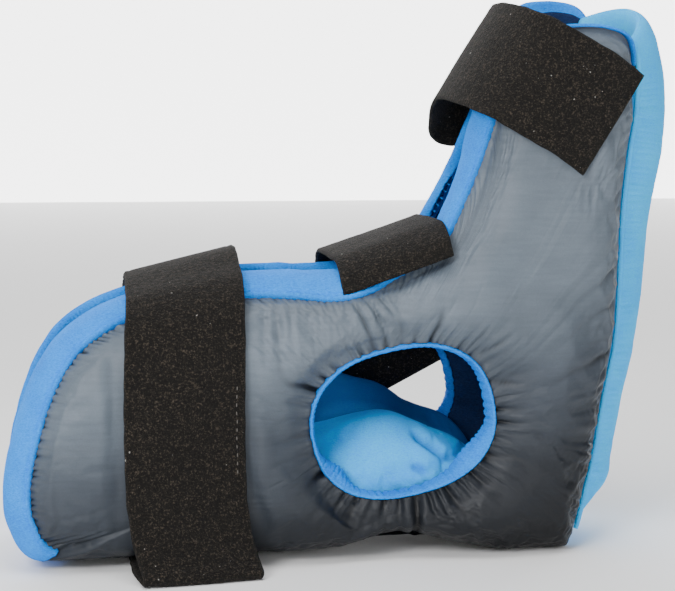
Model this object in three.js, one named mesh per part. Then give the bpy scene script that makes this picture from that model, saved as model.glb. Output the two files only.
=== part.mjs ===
// Heel offloading boot: two padded side panels, each with a large opening at the heel, joined by a
// padded sole and a padded spine up the back. Blue bindings finish the free edges, and three broad
// loop-pile straps close the forefoot, the instep and the calf.
// Millimetres, +Z up. The toe opening is at -X, the heel at +X, the left panel at -Y.
import * as THREE from "three";

// Driving dimensions of the body
const FOOT_LENGTH = 338; // toe opening to the heel seam
const FOOT_HEIGHT = 160; // floor to the top edge of the foot
const CALF_HEIGHT = 138; // top edge of the foot to the cuff
const CALF_DEPTH = 88; // shin edge to the back seam
const CALF_LEAN = 22; // how far the cuff leans back over the heel
const FOOT_HALF_WIDTH = 66; // outer half width at the foot
const CALF_HALF_WIDTH = 59; // outer half width at the calf
const HEEL_HALF_WIDTH = 60; // outer half width behind the heel opening
const SLIT_GAP = 40; // clear gap between the left and right edges, along instep and shin
const TOE_GAP = 98; // the same gap at the toe opening
const SOLE_WIDTH = 84; // between the two seams under the foot
const SPINE_WIDTH = 84; // between the two seams up the back
const SPINE_BULGE = 29; // how far the spine stands out behind its seams
const CUFF_RISE = 18; // how much higher the right side of the cuff stands
const PANEL_WALL = 20; // padded wall of panel and lining together
const EDGE_WALL = 5; // the same wall where it is bound at a free edge
const SEAM_WALL = 8; // the same wall at the seams of sole and spine
const PANEL_SHARE = 0.6; // share of the padded wall that the grey panel takes
const PANEL_PUFF = 4; // how far the panel stands proud of its bindings
const SOLE_WALL = 11; // thickness of the sole pad
const SPINE_WALL = 13; // thickness of the spine at its middle
const SPINE_SIDES = 0.9; // how square the spine's section is

// Heel opening
const OPENING_LENGTH = 107; // along its longer axis
const OPENING_HEIGHT = 86; // across it
const OPENING_TILT = 13; // degrees, the heel end is the higher one
const OPENING_FROM_HEEL = 116; // centre of the opening, ahead of the heel seam
const OPENING_UP = 79; // centre of the opening above the floor
const OPENING_SQUARENESS = 2.35; // 2 is an ellipse
const OPENING_WALL = 12; // wall at the opening
const OPENING_PINCH = 6; // how far the wall draws in towards its rim

// Bindings, piping and straps
const BINDING_WIDTH = 16; // of the free edges
const RIM_BINDING = 3.2; // radial thickness of the binding round the heel opening
const RIM_LAP = 1.2; // how far that binding stands proud of the wall
const PIPING_SIZE = 3.4; // across the piping
const STRAP_WIDTH = 62;
const STRAP_THICKNESS = 2.6;
const STRAP_STANDOFF = 13; // of the calf strap's front, ahead of the shin edge
const STRAP_ARCH = 12; // how high the instep strap arches over the slit
const CUSHION_HEIGHT = 58; // of the floor cushion above the sole pad, at the heel opening
const CLEARANCE = 0.35; // between pieces that touch
const LINING_CLEARANCE = 1.5; // between a panel and its lining
const LINING_INSET = 1; // of the lining from the seams of sole and spine
const BINDING_CLEARANCE = 0.6; // between a panel and the binding of its edge

// Fineness of the facets
const AROUND = 56; // facets round a panel
const RINGS = 6; // rings from a panel's free edge to its opening
const SPINE_ACROSS = 8;

// Small helpers
const clamp = (v, lo, hi) => Math.min(Math.max(v, lo), hi);
const mix = (a, b, t) => a + (b - a) * t;
const smooth = (lo, hi, v) => {
  const t = clamp((v - lo) / (hi - lo), 0, 1);
  return t * t * (3 - 2 * t);
};
const vec = (x, y, z) => new THREE.Vector3(x, y, z);
const degrees = THREE.MathUtils.degToRad;

// Smooth curve through the rows of a table: each column is interpolated by itself. A closed table
// starts again after its last row, with its turn one full circle on.
function sampler(rows, closed) {
  const names = Object.keys(rows[0]);
  const count = rows.length;
  const at = (i) => {
    if (!closed) return rows[clamp(i, 0, count - 1)];
    const row = rows[((i % count) + count) % count];
    return { ...row, turn: row.turn - 360 * Math.floor(i / count) };
  };
  return (t) => {
    const i = Math.floor(t);
    const f = t - i;
    const out = {};
    for (const name of names) {
      const [p, q, r, s] = [at(i - 1)[name], at(i)[name], at(i + 1)[name], at(i + 2)[name]];
      out[name] =
        q + 0.5 * f * (r - p + f * (2 * p - 5 * q + 4 * r - s + f * (3 * (q - r) + s - p)));
    }
    return out;
  };
}

// Closed skin from a grid of rows and columns of points. Each row is a closed section. The last row
// joins the first one where it is said to wrap, and otherwise the two end rows are filled by facets
// that go to and fro between their first and last columns. A four-sided facet is cut along its
// shorter diagonal, and the facet behind it in the wall is cut the same way. On a side wall the
// diagonals are compared as they look from the side.
function gridSolid(grid, { wrapRows = false, sideWall = false } = {}) {
  const rows = grid.length;
  const columns = grid[0].length;
  const points = grid.flat().map((p) => p.clone());
  const faces = [];
  const id = (r, c) => (r % rows) * columns + (c % columns);
  const apart = (r, c, s, d) => {
    const gap = points[id(r, c)].clone().sub(points[id(s, d)]);
    return sideWall ? Math.hypot(gap.x, gap.z) : gap.length();
  };
  const lastRow = wrapRows ? rows : rows - 1;
  for (let r = 0; r < lastRow; r++)
    for (let c = 0; c < columns; c++) {
      const [a, b, d, e] = [id(r, c), id(r, c + 1), id(r + 1, c + 1), id(r + 1, c)];
      const front = c < columns / 2;
      const cell = front || c === columns - 1 ? c : columns - 2 - c;
      const straight = apart(r, cell, r + 1, cell + 1) <= apart(r, cell + 1, r + 1, cell);
      if (straight === front) faces.push([a, b, d], [a, d, e]);
      else faces.push([a, b, e], [b, d, e]);
    }
  if (!wrapRows)
    for (const [r, flip] of [[0, true], [rows - 1, false]])
      for (let first = 0, last = columns - 1; last - first > 1; ) {
        const low = first;
        const high = last;
        const next = columns - 1 - high === low ? ++first : --last;
        const facet = [id(r, low), id(r, next), id(r, high)];
        faces.push(flip ? facet.reverse() : facet);
      }
  return facing(points, faces);
}

// Indexed geometry with its faces turned outwards.
function facing(points, faces) {
  let volume = 0;
  for (const [a, b, c] of faces)
    volume += points[a].dot(vec(0, 0, 0).crossVectors(points[b], points[c]));
  const turned = volume < 0 ? faces.map(([a, b, c]) => [a, c, b]) : faces;
  const geometry = new THREE.BufferGeometry();
  geometry.setAttribute(
    "position",
    new THREE.Float32BufferAttribute(points.flatMap((p) => [p.x, p.y, p.z]), 3),
  );
  geometry.setIndex(turned.flat());
  geometry.computeVertexNormals();
  return geometry;
}

// Outline of a side panel, walked from the toe up over the instep and the shin, across the cuff, down
// the spine and back along the sole. Each row is one place on the edge:
// along, share of FOOT_LENGTH; forward, share of CALF_DEPTH ahead of the back seam; lean, share of
// CALF_LEAN; foot and calf, shares of FOOT_HEIGHT and CALF_HEIGHT; half, half width of the boot at
// this edge; round, how far in from the edge the wall rounds out; turn, the place on the heel
// opening, in degrees from the heel end, that the edge is joined to; lead, how far the line to it
// runs straight in from the edge before it bends, as a share of CALF_DEPTH.
const SLIT = SLIT_GAP / 2;
const TOE = TOE_GAP / 2;
const SOLE = SOLE_WIDTH / 2;
const BACK = SPINE_WIDTH / 2;
const OUTLINE = [
  [0.045, 0, 0, 0.04, 0, TOE, 26, 196, 0],
  [0.008, 0, 0, 0.15, 0, TOE, 28, 191, 0],
  [0.0, 0, 0, 0.275, 0, TOE, 30, 187, 0],
  [0.01, 0, 0, 0.42, 0, 0.9 * TOE, 32, 182, 0],
  [0.036, 0, 0, 0.615, 0, 0.74 * TOE, 38, 176, 0],
  [0.075, 0, 0, 0.768, 0, 0.62 * TOE, 42, 170, 0],
  [0.122, 0, 0, 0.855, 0, 0.52 * TOE, 45, 164, 0],
  [0.19, 0, 0, 0.925, 0, SLIT, 46, 157, 0],
  [0.295, 0, 0, 0.982, 0, SLIT, 46, 150, 0],
  [0.39, 0, 0, 1.012, 0, SLIT, 46, 141, 0],
  [0.465, 0, 0, 1.015, 0, SLIT, 46, 133, 0],
  [0.54, 0, 0, 1.012, 0, SLIT, 44, 125, 0],
  [0.62, 0, 0, 1.038, 0, SLIT, 43, 117, 0.04],
  [0.682, 0, 0, 1.092, 0, SLIT, 42, 112, 0.1],
  [1, 1.107, 0.16, 1, 0.16, SLIT, 42, 107, 0.14],
  [1, 1.0, 0.38, 1, 0.385, SLIT, 42, 102, 0.22],
  [1, 0.955, 0.62, 1, 0.655, 1.02 * SLIT, 42, 96, 0.42],
  [1, 0.868, 1, 1, 1.01, 1.1 * SLIT, 42, 88, 0.5],
  [1, 0.55, 1, 1, 1.025, 2.4 * SLIT, 42, 74, 0.58],
  [1, 0.24, 1, 1, 1.02, 2.3 * SLIT, 36, 63, 0.46],
  [1, 0.03, 1, 1, 0.945, BACK, 30, 54, 0.4],
  [1, 0.0, 0.95, 1, 0.7, BACK, 30, 47, 0.44],
  [1, 0.0, 0.78, 1, 0.5, BACK, 30, 39, 0.4],
  [1, 0.0, 0.62, 1, 0.25, BACK, 30, 30, 0.3],
  [1, 0.0, 0.54, 0.9, 0, BACK, 30, 18, 0.16],
  [1, 0.0, 0.44, 0.73, 0, BACK, 30, 8, 0.06],
  [1, 0.0, 0.2, 0.565, 0, BACK, 28, -2, 0],
  [1, 0.02, 0, 0.34, 0, BACK, 26, -14, 0],
  [1, 0.07, 0, 0.22, 0, BACK, 24, -22, 0],
  [0.955, 0, 0, 0.018, 0, BACK, 24, -36, 0],
  [0.92, 0, 0, 0, 0, SOLE, 26, -42, 0],
  [0.84, 0, 0, 0, 0, SOLE, 26, -54, 0],
  [0.75, 0, 0, 0.036, 0, SOLE, 24, -70, 0],
  [0.655, 0, 0, 0.082, 0, SOLE, 22, -90, 0],
  [0.55, 0, 0, 0.034, 0, SOLE, 24, -112, 0],
  [0.44, 0, 0, 0.022, 0, SOLE, 26, -130, 0],
  [0.28, 0, 0, 0.022, 0, SOLE, 26, -145, 0],
  [0.15, 0, 0, 0.022, 0, SOLE, 26, -156, 0],
].map(([along, forward, lean, foot, calf, half, round, turn, lead]) => ({
  x: along * FOOT_LENGTH - forward * CALF_DEPTH + lean * CALF_LEAN,
  z: foot * FOOT_HEIGHT + calf * CALF_HEIGHT,
  half,
  round,
  turn,
  lead: lead * CALF_DEPTH,
}));

// Rows of the outline by number: the free edges run from the toe's corner to the cuff's back corner.
const SHIN_TOP = 17;
const CUFF_BACK = 20;
const HEEL_CORNER = 29;
const SOLE_HEEL = 30; // from here to the next row the sole is flat on the floor
const SOLE_TOE = OUTLINE.length;
const SOLE_FRONT = SOLE_TOE - 0.5; // where the sole pad ends and its front binding starts
const outlineAt = (t) => {
  const row = sampleOutline(t);
  return { ...row, z: Math.max(row.z, 0) };
};
const sampleOutline = sampler(OUTLINE, true);

// Rim of the heel opening at a turn in degrees from the heel end.
const openingCentre = { x: FOOT_LENGTH - OPENING_FROM_HEEL, z: OPENING_UP };
function openingAt(turn, inset = 0) {
  const a = degrees(turn - OPENING_TILT);
  const power = 2 / OPENING_SQUARENESS;
  const long = Math.sign(Math.cos(a)) * Math.abs(Math.cos(a)) ** power * (OPENING_LENGTH / 2 - inset);
  const high = Math.sign(Math.sin(a)) * Math.abs(Math.sin(a)) ** power * (OPENING_HEIGHT / 2 - inset);
  const tilt = degrees(OPENING_TILT);
  return {
    x: openingCentre.x + long * Math.cos(tilt) - high * Math.sin(tilt),
    z: openingCentre.z + long * Math.sin(tilt) + high * Math.cos(tilt),
  };
}

// Edges that the wall rounds out from: the whole outline except the cuff, which is cut straight
// through the calf, so there the shin edge and the back seam are carried on upwards.
const EDGE_STEPS = 9;
const CARRY_ON = 0.5 * CALF_HEIGHT;
const roundingEdge = [];
{
  const upwards = (row) => {
    const lean = CALF_LEAN / CALF_HEIGHT;
    return { ...row, x: row.x + CARRY_ON * lean, z: row.z + CARRY_ON };
  };
  const last = OUTLINE.length + SHIN_TOP;
  for (let i = (CUFF_BACK + 1) * EDGE_STEPS; i <= last * EDGE_STEPS; i++)
    roundingEdge.push(outlineAt(i / EDGE_STEPS));
  roundingEdge.unshift(upwards(roundingEdge[0]));
  roundingEdge.push(upwards(roundingEdge[roundingEdge.length - 1]));
}

// Distance of a place from those edges, the half width and rounding that hold there, and the way out
// to the edge.
function nearEdge(x, z) {
  let nearest = Infinity;
  let weight = 0;
  let half = 0;
  let round = 0;
  const away = { x: 0, z: 0 };
  for (let i = 0; i + 1 < roundingEdge.length; i++) {
    const [a, b] = [roundingEdge[i], roundingEdge[i + 1]];
    const [dx, dz] = [b.x - a.x, b.z - a.z];
    const f = clamp(((x - a.x) * dx + (z - a.z) * dz) / (dx * dx + dz * dz || 1), 0, 1);
    const distance = Math.hypot(x - a.x - f * dx, z - a.z - f * dz);
    nearest = Math.min(nearest, distance);
    const w = (Math.hypot(dx, dz) + 0.01) / (distance * distance + 1) ** 2;
    weight += w;
    half += w * mix(a.half, b.half, f);
    round += w * mix(a.round, b.round, f);
    away.x -= (w * (x - a.x - f * dx)) / (distance + 0.01);
    away.z -= (w * (z - a.z - f * dz)) / (distance + 0.01);
  }
  return { distance: nearest, half: half / weight, round: round / weight, away };
}

// Half width of the boot at its fullest, by place.
function fullHalf(x, z) {
  const calf = smooth(0.85, 1.35, z / FOOT_HEIGHT);
  const heel = smooth(0.78, 0.95, x / FOOT_LENGTH) * (1 - calf);
  return mix(mix(FOOT_HALF_WIDTH, CALF_HALF_WIDTH, calf), HEEL_HALF_WIDTH, heel);
}

// Place on a panel: t walks round the outline, and depth goes from 0 at its edge to 1 at the rim of
// the heel opening. Depth is crowded towards the edge, where the wall turns most.
const CROWDING = 1.8;
const FAN = 0.75; // how much further back a line with a lead comes down, as a share of its lead
function place(t, depth) {
  const edge = outlineAt(t);
  const rim = openingAt(edge.turn);
  const length = Math.hypot(rim.x - edge.x, rim.z - edge.z);
  const f = depth ** CROWDING;
  const [a, b] = [outlineAt(t - 0.15), outlineAt(t + 0.15)];
  const run = Math.hypot(b.x - a.x, b.z - a.z);
  const inwards = { x: (b.z - a.z) / run, z: -(b.x - a.x) / run };
  const bend = edge.lead > 0 ? edge.lead / CALF_DEPTH : 0;
  const third = { x: (rim.x - edge.x) / 3, z: (rim.z - edge.z) / 3 };
  const first = {
    x: edge.x + mix(third.x, inwards.x * edge.lead, smooth(0, 0.15, bend)),
    z: edge.z + mix(third.z, inwards.z * edge.lead, smooth(0, 0.15, bend)),
  };
  const second = { x: rim.x - third.x + FAN * edge.lead, z: rim.z - third.z };
  const [g, h] = [1 - f, f];
  const on = (k) =>
    g ** 3 * edge[k] + 3 * g * g * h * first[k] + 3 * g * h * h * second[k] + h ** 3 * rim[k];
  return { x: on("x"), z: on("z"), fromEdge: length * f, fromRim: length * (1 - f), length };
}
const depthAt = (t, distance) => {
  const { length } = place(t, 0);
  return clamp(distance / length, 0, 1) ** (1 / CROWDING);
};

// Outer skin of a panel before its puff, on the left (side -1) or the right (side 1), with the
// direction that it faces. At the rim of the opening the wall is cut straight through.
const SHALLOW = 3; // nearer to the edge than this, the way out is taken from this far in
function skinFrame(t, depth, side) {
  const { x, z, fromEdge, fromRim, length } = place(t, depth);
  const here = nearEdge(x, z);
  const onCuff = t > SHIN_TOP && t < CUFF_BACK;
  const distance = onCuff ? here.distance : Math.min(here.distance, fromEdge);
  const lift = 1 - clamp(distance / here.round, 0, 1);
  const swell = Math.sqrt(1 - lift * lift);
  const width = fullHalf(x, z) - here.half;
  const pinch = OPENING_PINCH * Math.exp(-((fromRim / 14) ** 2)) * smooth(0, 14, fromEdge);
  const rise = side > 0 ? CUFF_RISE * smooth(0.25, 1, (z - FOOT_HEIGHT) / CALF_HEIGHT) : 0;
  const point = vec(x, side * (here.half + width * swell - pinch), z + rise);
  const inside = fromEdge < SHALLOW ? place(t, depthAt(t, SHALLOW)) : { x, z };
  const { away } = nearEdge(inside.x, inside.z);
  const way = Math.hypot(away.x, away.z) || 1;
  const steep = (Math.max(width, 6) * lift) / here.round / Math.max(swell, 0.02);
  const slope = steep * mix(0.3, 1, smooth(25, 70, length));
  const out = vec((away.x / way) * slope, side, (away.z / way) * slope).normalize();
  out.lerp(vec(0, side, 0), smooth(0.2, 0.55, depth)).normalize();
  return { point, out };
}

// Width of the binding along the walk: full along the free edges, tapering off at their two ends.
const BINDING_END = 0.75;
function bindingWidth(t) {
  const count = OUTLINE.length;
  const walk = t > (count + CUFF_BACK) / 2 ? t - count : t;
  const taper = smooth(-BINDING_END - 0.4, 0, walk) * (1 - smooth(CUFF_BACK, CUFF_BACK + BINDING_END + 0.4, walk));
  const there = walk > -BINDING_END && walk < CUFF_BACK + BINDING_END;
  return there ? BINDING_WIDTH * taper : 0;
}

// Thickness of the padded wall and the puff of the panel over its bindings.
function wallAt(t, depth) {
  const { fromEdge, fromRim } = place(t, depth);
  const bound = bindingWidth(t);
  const edge = bound > 0 ? EDGE_WALL : SEAM_WALL;
  const padded = mix(edge, PANEL_WALL, smooth(bound, bound + 42, fromEdge));
  return mix(Math.min(OPENING_WALL, padded + 2), padded, smooth(0, 40, fromRim));
}
function puffAt(t, depth) {
  const { fromEdge, fromRim } = place(t, depth);
  const bound = bindingWidth(t);
  return PANEL_PUFF * smooth(bound, bound + 12, fromEdge) * smooth(0, 14, fromRim);
}

// Places round the walk, evenly spread over the outline and the rim together.
const WALK = [];
{
  const steps = OUTLINE.length * 12;
  const reach = [0];
  for (let i = 1; i <= steps; i++) {
    const [a, b] = [outlineAt((i - 1) / 12), outlineAt(i / 12)];
    const [p, q] = [openingAt(a.turn), openingAt(b.turn)];
    const step = Math.hypot(b.x - a.x, b.z - a.z) + 1.2 * Math.hypot(q.x - p.x, q.z - p.z);
    reach.push(reach[i - 1] + step);
  }
  let i = 0;
  for (let k = 0; k < AROUND; k++) {
    const target = (reach[steps] * k) / AROUND;
    while (reach[i + 1] < target) i++;
    WALK.push((i + (target - reach[i]) / (reach[i + 1] - reach[i])) / 12);
  }
  for (const row of [CUFF_BACK + 1, SOLE_HEEL, SOLE_HEEL + 1, SOLE_FRONT]) {
    const off = WALK.map((t) => Math.abs(t - row));
    WALK[off.indexOf(Math.min(...off))] = row;
  }
}

// Closed shell between two depths of the wall, given as distances below the skin.
function shellGrid(walk, depths, upper, lower, side) {
  return walk.map((t) => {
    const frames = depths(t).map((depth) => ({ depth, ...skinFrame(t, depth, side) }));
    const top = frames.map((f) => f.point.clone().addScaledVector(f.out, -upper(t, f.depth)));
    const under = frames.map((f) => f.point.clone().addScaledVector(f.out, -lower(t, f.depth)));
    return [...top, ...under.reverse()];
  });
}
const wallDepths = (seamInset) => (t) => {
  const inset = seamInset * (1 - smooth(25, 70, place(t, 0).length));
  const start = depthAt(t, bindingWidth(t) > 0 ? bindingWidth(t) + BINDING_CLEARANCE : inset);
  return Array.from({ length: RINGS + 1 }, (_, i) => mix(start, 1, i / RINGS));
};
const sidePanel = (side) =>
  gridSolid(
    shellGrid(
      WALK,
      wallDepths(0),
      (t, depth) => -puffAt(t, depth),
      (t, depth) => PANEL_SHARE * wallAt(t, depth),
      side,
    ),
    { wrapRows: true, sideWall: true },
  );
const lining = (side) =>
  gridSolid(
    shellGrid(
      WALK,
      wallDepths(LINING_INSET),
      (t, depth) => PANEL_SHARE * wallAt(t, depth) + LINING_CLEARANCE,
      (t, depth) => wallAt(t, depth),
      side,
    ),
    { wrapRows: true, sideWall: true },
  );

// Binding of the free edges, from the toe's corner over instep and shin to the cuff's back corner.
function edgeBinding(side) {
  const count = OUTLINE.length;
  const walk = WALK.map((t) => (t > (count + CUFF_BACK) / 2 ? t - count : t))
    .filter((t) => bindingWidth(t) > 0)
    .sort((a, b) => a - b);
  const across = (t) => [0, 0.35, 0.7, 1].map((f) => depthAt(t, f * bindingWidth(t)));
  return gridSolid(
    shellGrid(walk, across, () => 0, (t) => wallAt(t, 0), side),
  );
}

// Binding round the heel opening, a band through the wall that laps over both of its faces.
function openingBinding(side) {
  const grid = WALK.map((t) => {
    const { point, out } = skinFrame(t, 1, side);
    const { turn } = outlineAt(t);
    const [outer, inner] = [openingAt(turn, CLEARANCE), openingAt(turn, RIM_BINDING)];
    const rimPoint = openingAt(turn);
    const shift = (to, deep) =>
      point
        .clone()
        .add(vec(to.x - rimPoint.x, 0, to.z - rimPoint.z))
        .add(vec(0, -Math.sign(out.y) * deep, 0));
    const wall = wallAt(t, 1);
    return [
      shift(outer, -RIM_LAP),
      shift(inner, -0.4 * RIM_LAP),
      shift(inner, wall + 0.4 * RIM_LAP),
      shift(outer, wall + RIM_LAP),
    ];
  });
  return gridSolid(grid, { wrapRows: true });
}

// Sole pad, between the two seams under the foot, flat under the heel.
const soleWalk = WALK.filter((t) => t >= SOLE_HEEL && t <= SOLE_FRONT);
const soleSection = ({ x, z, half }) => {
  const y = half - CLEARANCE;
  return [
    vec(x, -y, z),
    vec(x, y, z),
    vec(x, y, z + SEAM_WALL),
    vec(x, 0.6 * y, z + SOLE_WALL),
    vec(x, -0.6 * y, z + SOLE_WALL),
    vec(x, -y, z + SEAM_WALL),
  ];
};
const solePad = () => gridSolid(soleWalk.map((t) => soleSection(outlineAt(t))));

// Binding across the sole's front edge, between the two edge bindings.
const TOE_LIP = 5; // how far it stands out ahead of the side bindings' corner
function toeBinding() {
  const walk = WALK.filter((t) => t > SOLE_FRONT);
  const first = outlineAt(SOLE_FRONT);
  const last = outlineAt(SOLE_TOE);
  const flat = (row, shrink) => {
    const [left, right, rightTop, , , leftTop] = soleSection(row);
    const middle = row.z + SEAM_WALL / 2;
    return [left, right, rightTop, leftTop].map((p) => p.setZ(middle + (p.z - middle) * shrink));
  };
  return gridSolid([
    flat({ ...first, x: first.x - CLEARANCE }, 1),
    ...walk.map((t) => flat(outlineAt(t), 1)),
    flat(last, 0.95),
    flat({ ...last, x: last.x - 0.7 * TOE_LIP, z: last.z + 0.6 }, 0.75),
    flat({ ...last, x: last.x - TOE_LIP, z: last.z + 0.8 }, 0.35),
  ]);
}

// Spine: its sections follow the back seams from under the heel to the cuff. walk, row of the
// outline; bulge, share of SPINE_BULGE.
const SPINE_ROWS = [
  [CUFF_BACK, 1.08],
  [CUFF_BACK + 1, 1.08],
  [CUFF_BACK + 2, 1.06],
  [CUFF_BACK + 3, 1.0],
  [CUFF_BACK + 4, 0.94],
  [CUFF_BACK + 5, 0.9],
  [CUFF_BACK + 6, 0.88],
  [CUFF_BACK + 7, 0.86],
  [CUFF_BACK + 8, 0.86],
  [HEEL_CORNER, 0.1],
  [SOLE_HEEL, 0],
].map(([walk, bulge]) => ({ walk, bulge }));
const spineBulge = (t) => sampler(SPINE_ROWS, false)(t - CUFF_BACK).bulge;
function seamFrame(walk, side) {
  const { x, z, half } = outlineAt(walk);
  const [a, b] = [outlineAt(walk - 0.1), outlineAt(walk + 0.1)];
  const along = vec(b.x - a.x, 0, b.z - a.z).normalize();
  const out = vec(-along.z, 0, along.x);
  const rise = side > 0 ? CUFF_RISE * smooth(0.25, 1, (z - FOOT_HEIGHT) / CALF_HEIGHT) : 0;
  return { point: vec(x, side * half, z + rise), out, half };
}
function heelSpine() {
  const walk = [CUFF_BACK, ...WALK.filter((t) => t > CUFF_BACK && t <= SOLE_HEEL)];
  const grid = walk.map((t) => {
    const [left, right] = [seamFrame(t, -1), seamFrame(t, 1)];
    const bulge = Math.max(spineBulge(t), 0) * SPINE_BULGE;
    const start = t === SOLE_HEEL ? CLEARANCE : 0;
    const outer = [];
    const inner = [];
    for (let k = 0; k <= SPINE_ACROSS; k++) {
      const q = Math.sin(((k / SPINE_ACROSS) * 2 - 1) * 0.5 * Math.PI);
      const y = q * (left.half - CLEARANCE);
      const crown = (1 - Math.abs(q) ** 2.2) ** SPINE_SIDES;
      const seam = left.point.clone().lerp(right.point, (q + 1) / 2).setY(y);
      seam.x += start;
      const wall = mix(SEAM_WALL, SPINE_WALL, crown);
      const skinPoint = seam.clone().addScaledVector(left.out, bulge * crown);
      outer.push(skinPoint.setZ(Math.max(skinPoint.z, 0)));
      inner.push(seam.clone().addScaledVector(left.out, bulge * crown - wall));
    }
    return [...outer, ...inner.reverse()];
  });
  return gridSolid(grid);
}

// Round cord or piping along points.
function tube(points, radius, sides = 6) {
  const grid = points.map((p, i) => {
    const before = points[Math.max(i - 1, 0)];
    const after = points[Math.min(i + 1, points.length - 1)];
    const along = after.clone().sub(before).normalize();
    const across = vec(0, 0, 0).crossVectors(along, vec(0, 1, 0)).normalize();
    const up = vec(0, 0, 0).crossVectors(across, along);
    return Array.from({ length: sides }, (_, k) => {
      const a = (2 * Math.PI * k) / sides;
      return p
        .clone()
        .addScaledVector(across, radius * Math.cos(a))
        .addScaledVector(up, radius * Math.sin(a));
    });
  });
  return gridSolid(grid);
}
const PIPING_STEPS = 18;
function spinePiping(side) {
  const radius = PIPING_SIZE / 2;
  const stand = radius + CLEARANCE;
  const [start, end] = [HEEL_CORNER - 0.3, CUFF_BACK + 0.3];
  const points = [];
  for (let i = 0; i <= PIPING_STEPS; i++) {
    const { point, out } = seamFrame(mix(start, end, i / PIPING_STEPS), side);
    points.push(point.addScaledVector(out, stand).add(vec(0, side * stand, 0)));
  }
  return tube(points, radius);
}

// Floor cushion, one section over each of the sole's: top and far, the height of its middle and of
// its right side, as shares of CUSHION_HEIGHT over the sole; width, share of CUSHION_HALF.
const CUSHION_HALF = FOOT_HALF_WIDTH - PANEL_WALL - 3;
const CUSHION_HEEL = 0.9; // where it ends, as a share of FOOT_LENGTH
const CUSHION = [
  [0.2, 0.2, 0.84],
  [0.45, 0.45, 0.92],
  [0.55, 0.55, 0.95],
  [0.62, 0.64, 1.0],
  [0.74, 0.8, 1.0],
  [0.98, 1.12, 1.0],
  [0.96, 1.14, 1.0],
  [0.74, 0.94, 0.98],
  [0.42, 0.56, 0.9],
  [0.12, 0.14, 0.8],
].map(([top, far, width]) => ({ top, far, width }));
function footCushion() {
  const walk = soleWalk.filter((t) => outlineAt(t).x < CUSHION_HEEL * FOOT_LENGTH);
  const cushionAt = sampler(CUSHION, false);
  const grid = walk.map((t) => {
    const { x, z } = outlineAt(t);
    const share = clamp(x / (CUSHION_HEEL * FOOT_LENGTH), 0, 1);
    const { top, far, width } = cushionAt(share * (CUSHION.length - 1));
    const half = width * CUSHION_HALF;
    const floor = z + SOLE_WALL + CLEARANCE;
    const high = (part) => floor + CUSHION_HEIGHT * part;
    return [
      vec(x, -0.8 * half, floor),
      vec(x, 0, floor),
      vec(x, 0.8 * half, floor),
      vec(x, half, mix(floor, high(far), 0.35)),
      vec(x, 0.96 * half, mix(floor, high(far), 0.75)),
      vec(x, 0.72 * half, high(far)),
      vec(x, 0.4 * half, high(mix(top, far, 0.3))),
      vec(x, 0, high(top)),
      vec(x, -0.45 * half, high(0.93 * top)),
      vec(x, -0.86 * half, high(0.74 * top)),
      vec(x, -half, high(0.36 * top)),
    ];
  });
  return gridSolid(grid);
}

// Strap along a path: each station has its middle, the direction across its width and its normal.
function strap(stations, closed) {
  const count = stations.length;
  const grid = stations.map(({ middle, across }, i) => {
    const wrap = (k) => (closed ? (k + count) % count : clamp(k, 0, count - 1));
    const along = stations[wrap(i + 1)].middle.clone().sub(stations[wrap(i - 1)].middle);
    const wide = across.clone().normalize();
    const normal = vec(0, 0, 0).crossVectors(along, wide).normalize();
    const corner = (w, n) =>
      middle
        .clone()
        .addScaledVector(wide, (w * STRAP_WIDTH) / 2)
        .addScaledVector(normal, (n * STRAP_THICKNESS) / 2);
    return [corner(-1, -1), corner(0, -1), corner(1, -1), corner(1, 1), corner(0, 1), corner(-1, 1)];
  });
  return gridSolid(grid, { wrapRows: closed });
}
const thick = (share) => share * STRAP_THICKNESS;
const stationsFrom = (rows, steps, closed, toStation) => {
  const at = sampler(rows, closed);
  const spans = closed ? rows.length : rows.length - 1;
  const count = Math.round(spans * steps) + (closed ? 0 : 1);
  return Array.from({ length: count }, (_, i) => toStation(at(i / steps)));
};

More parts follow.
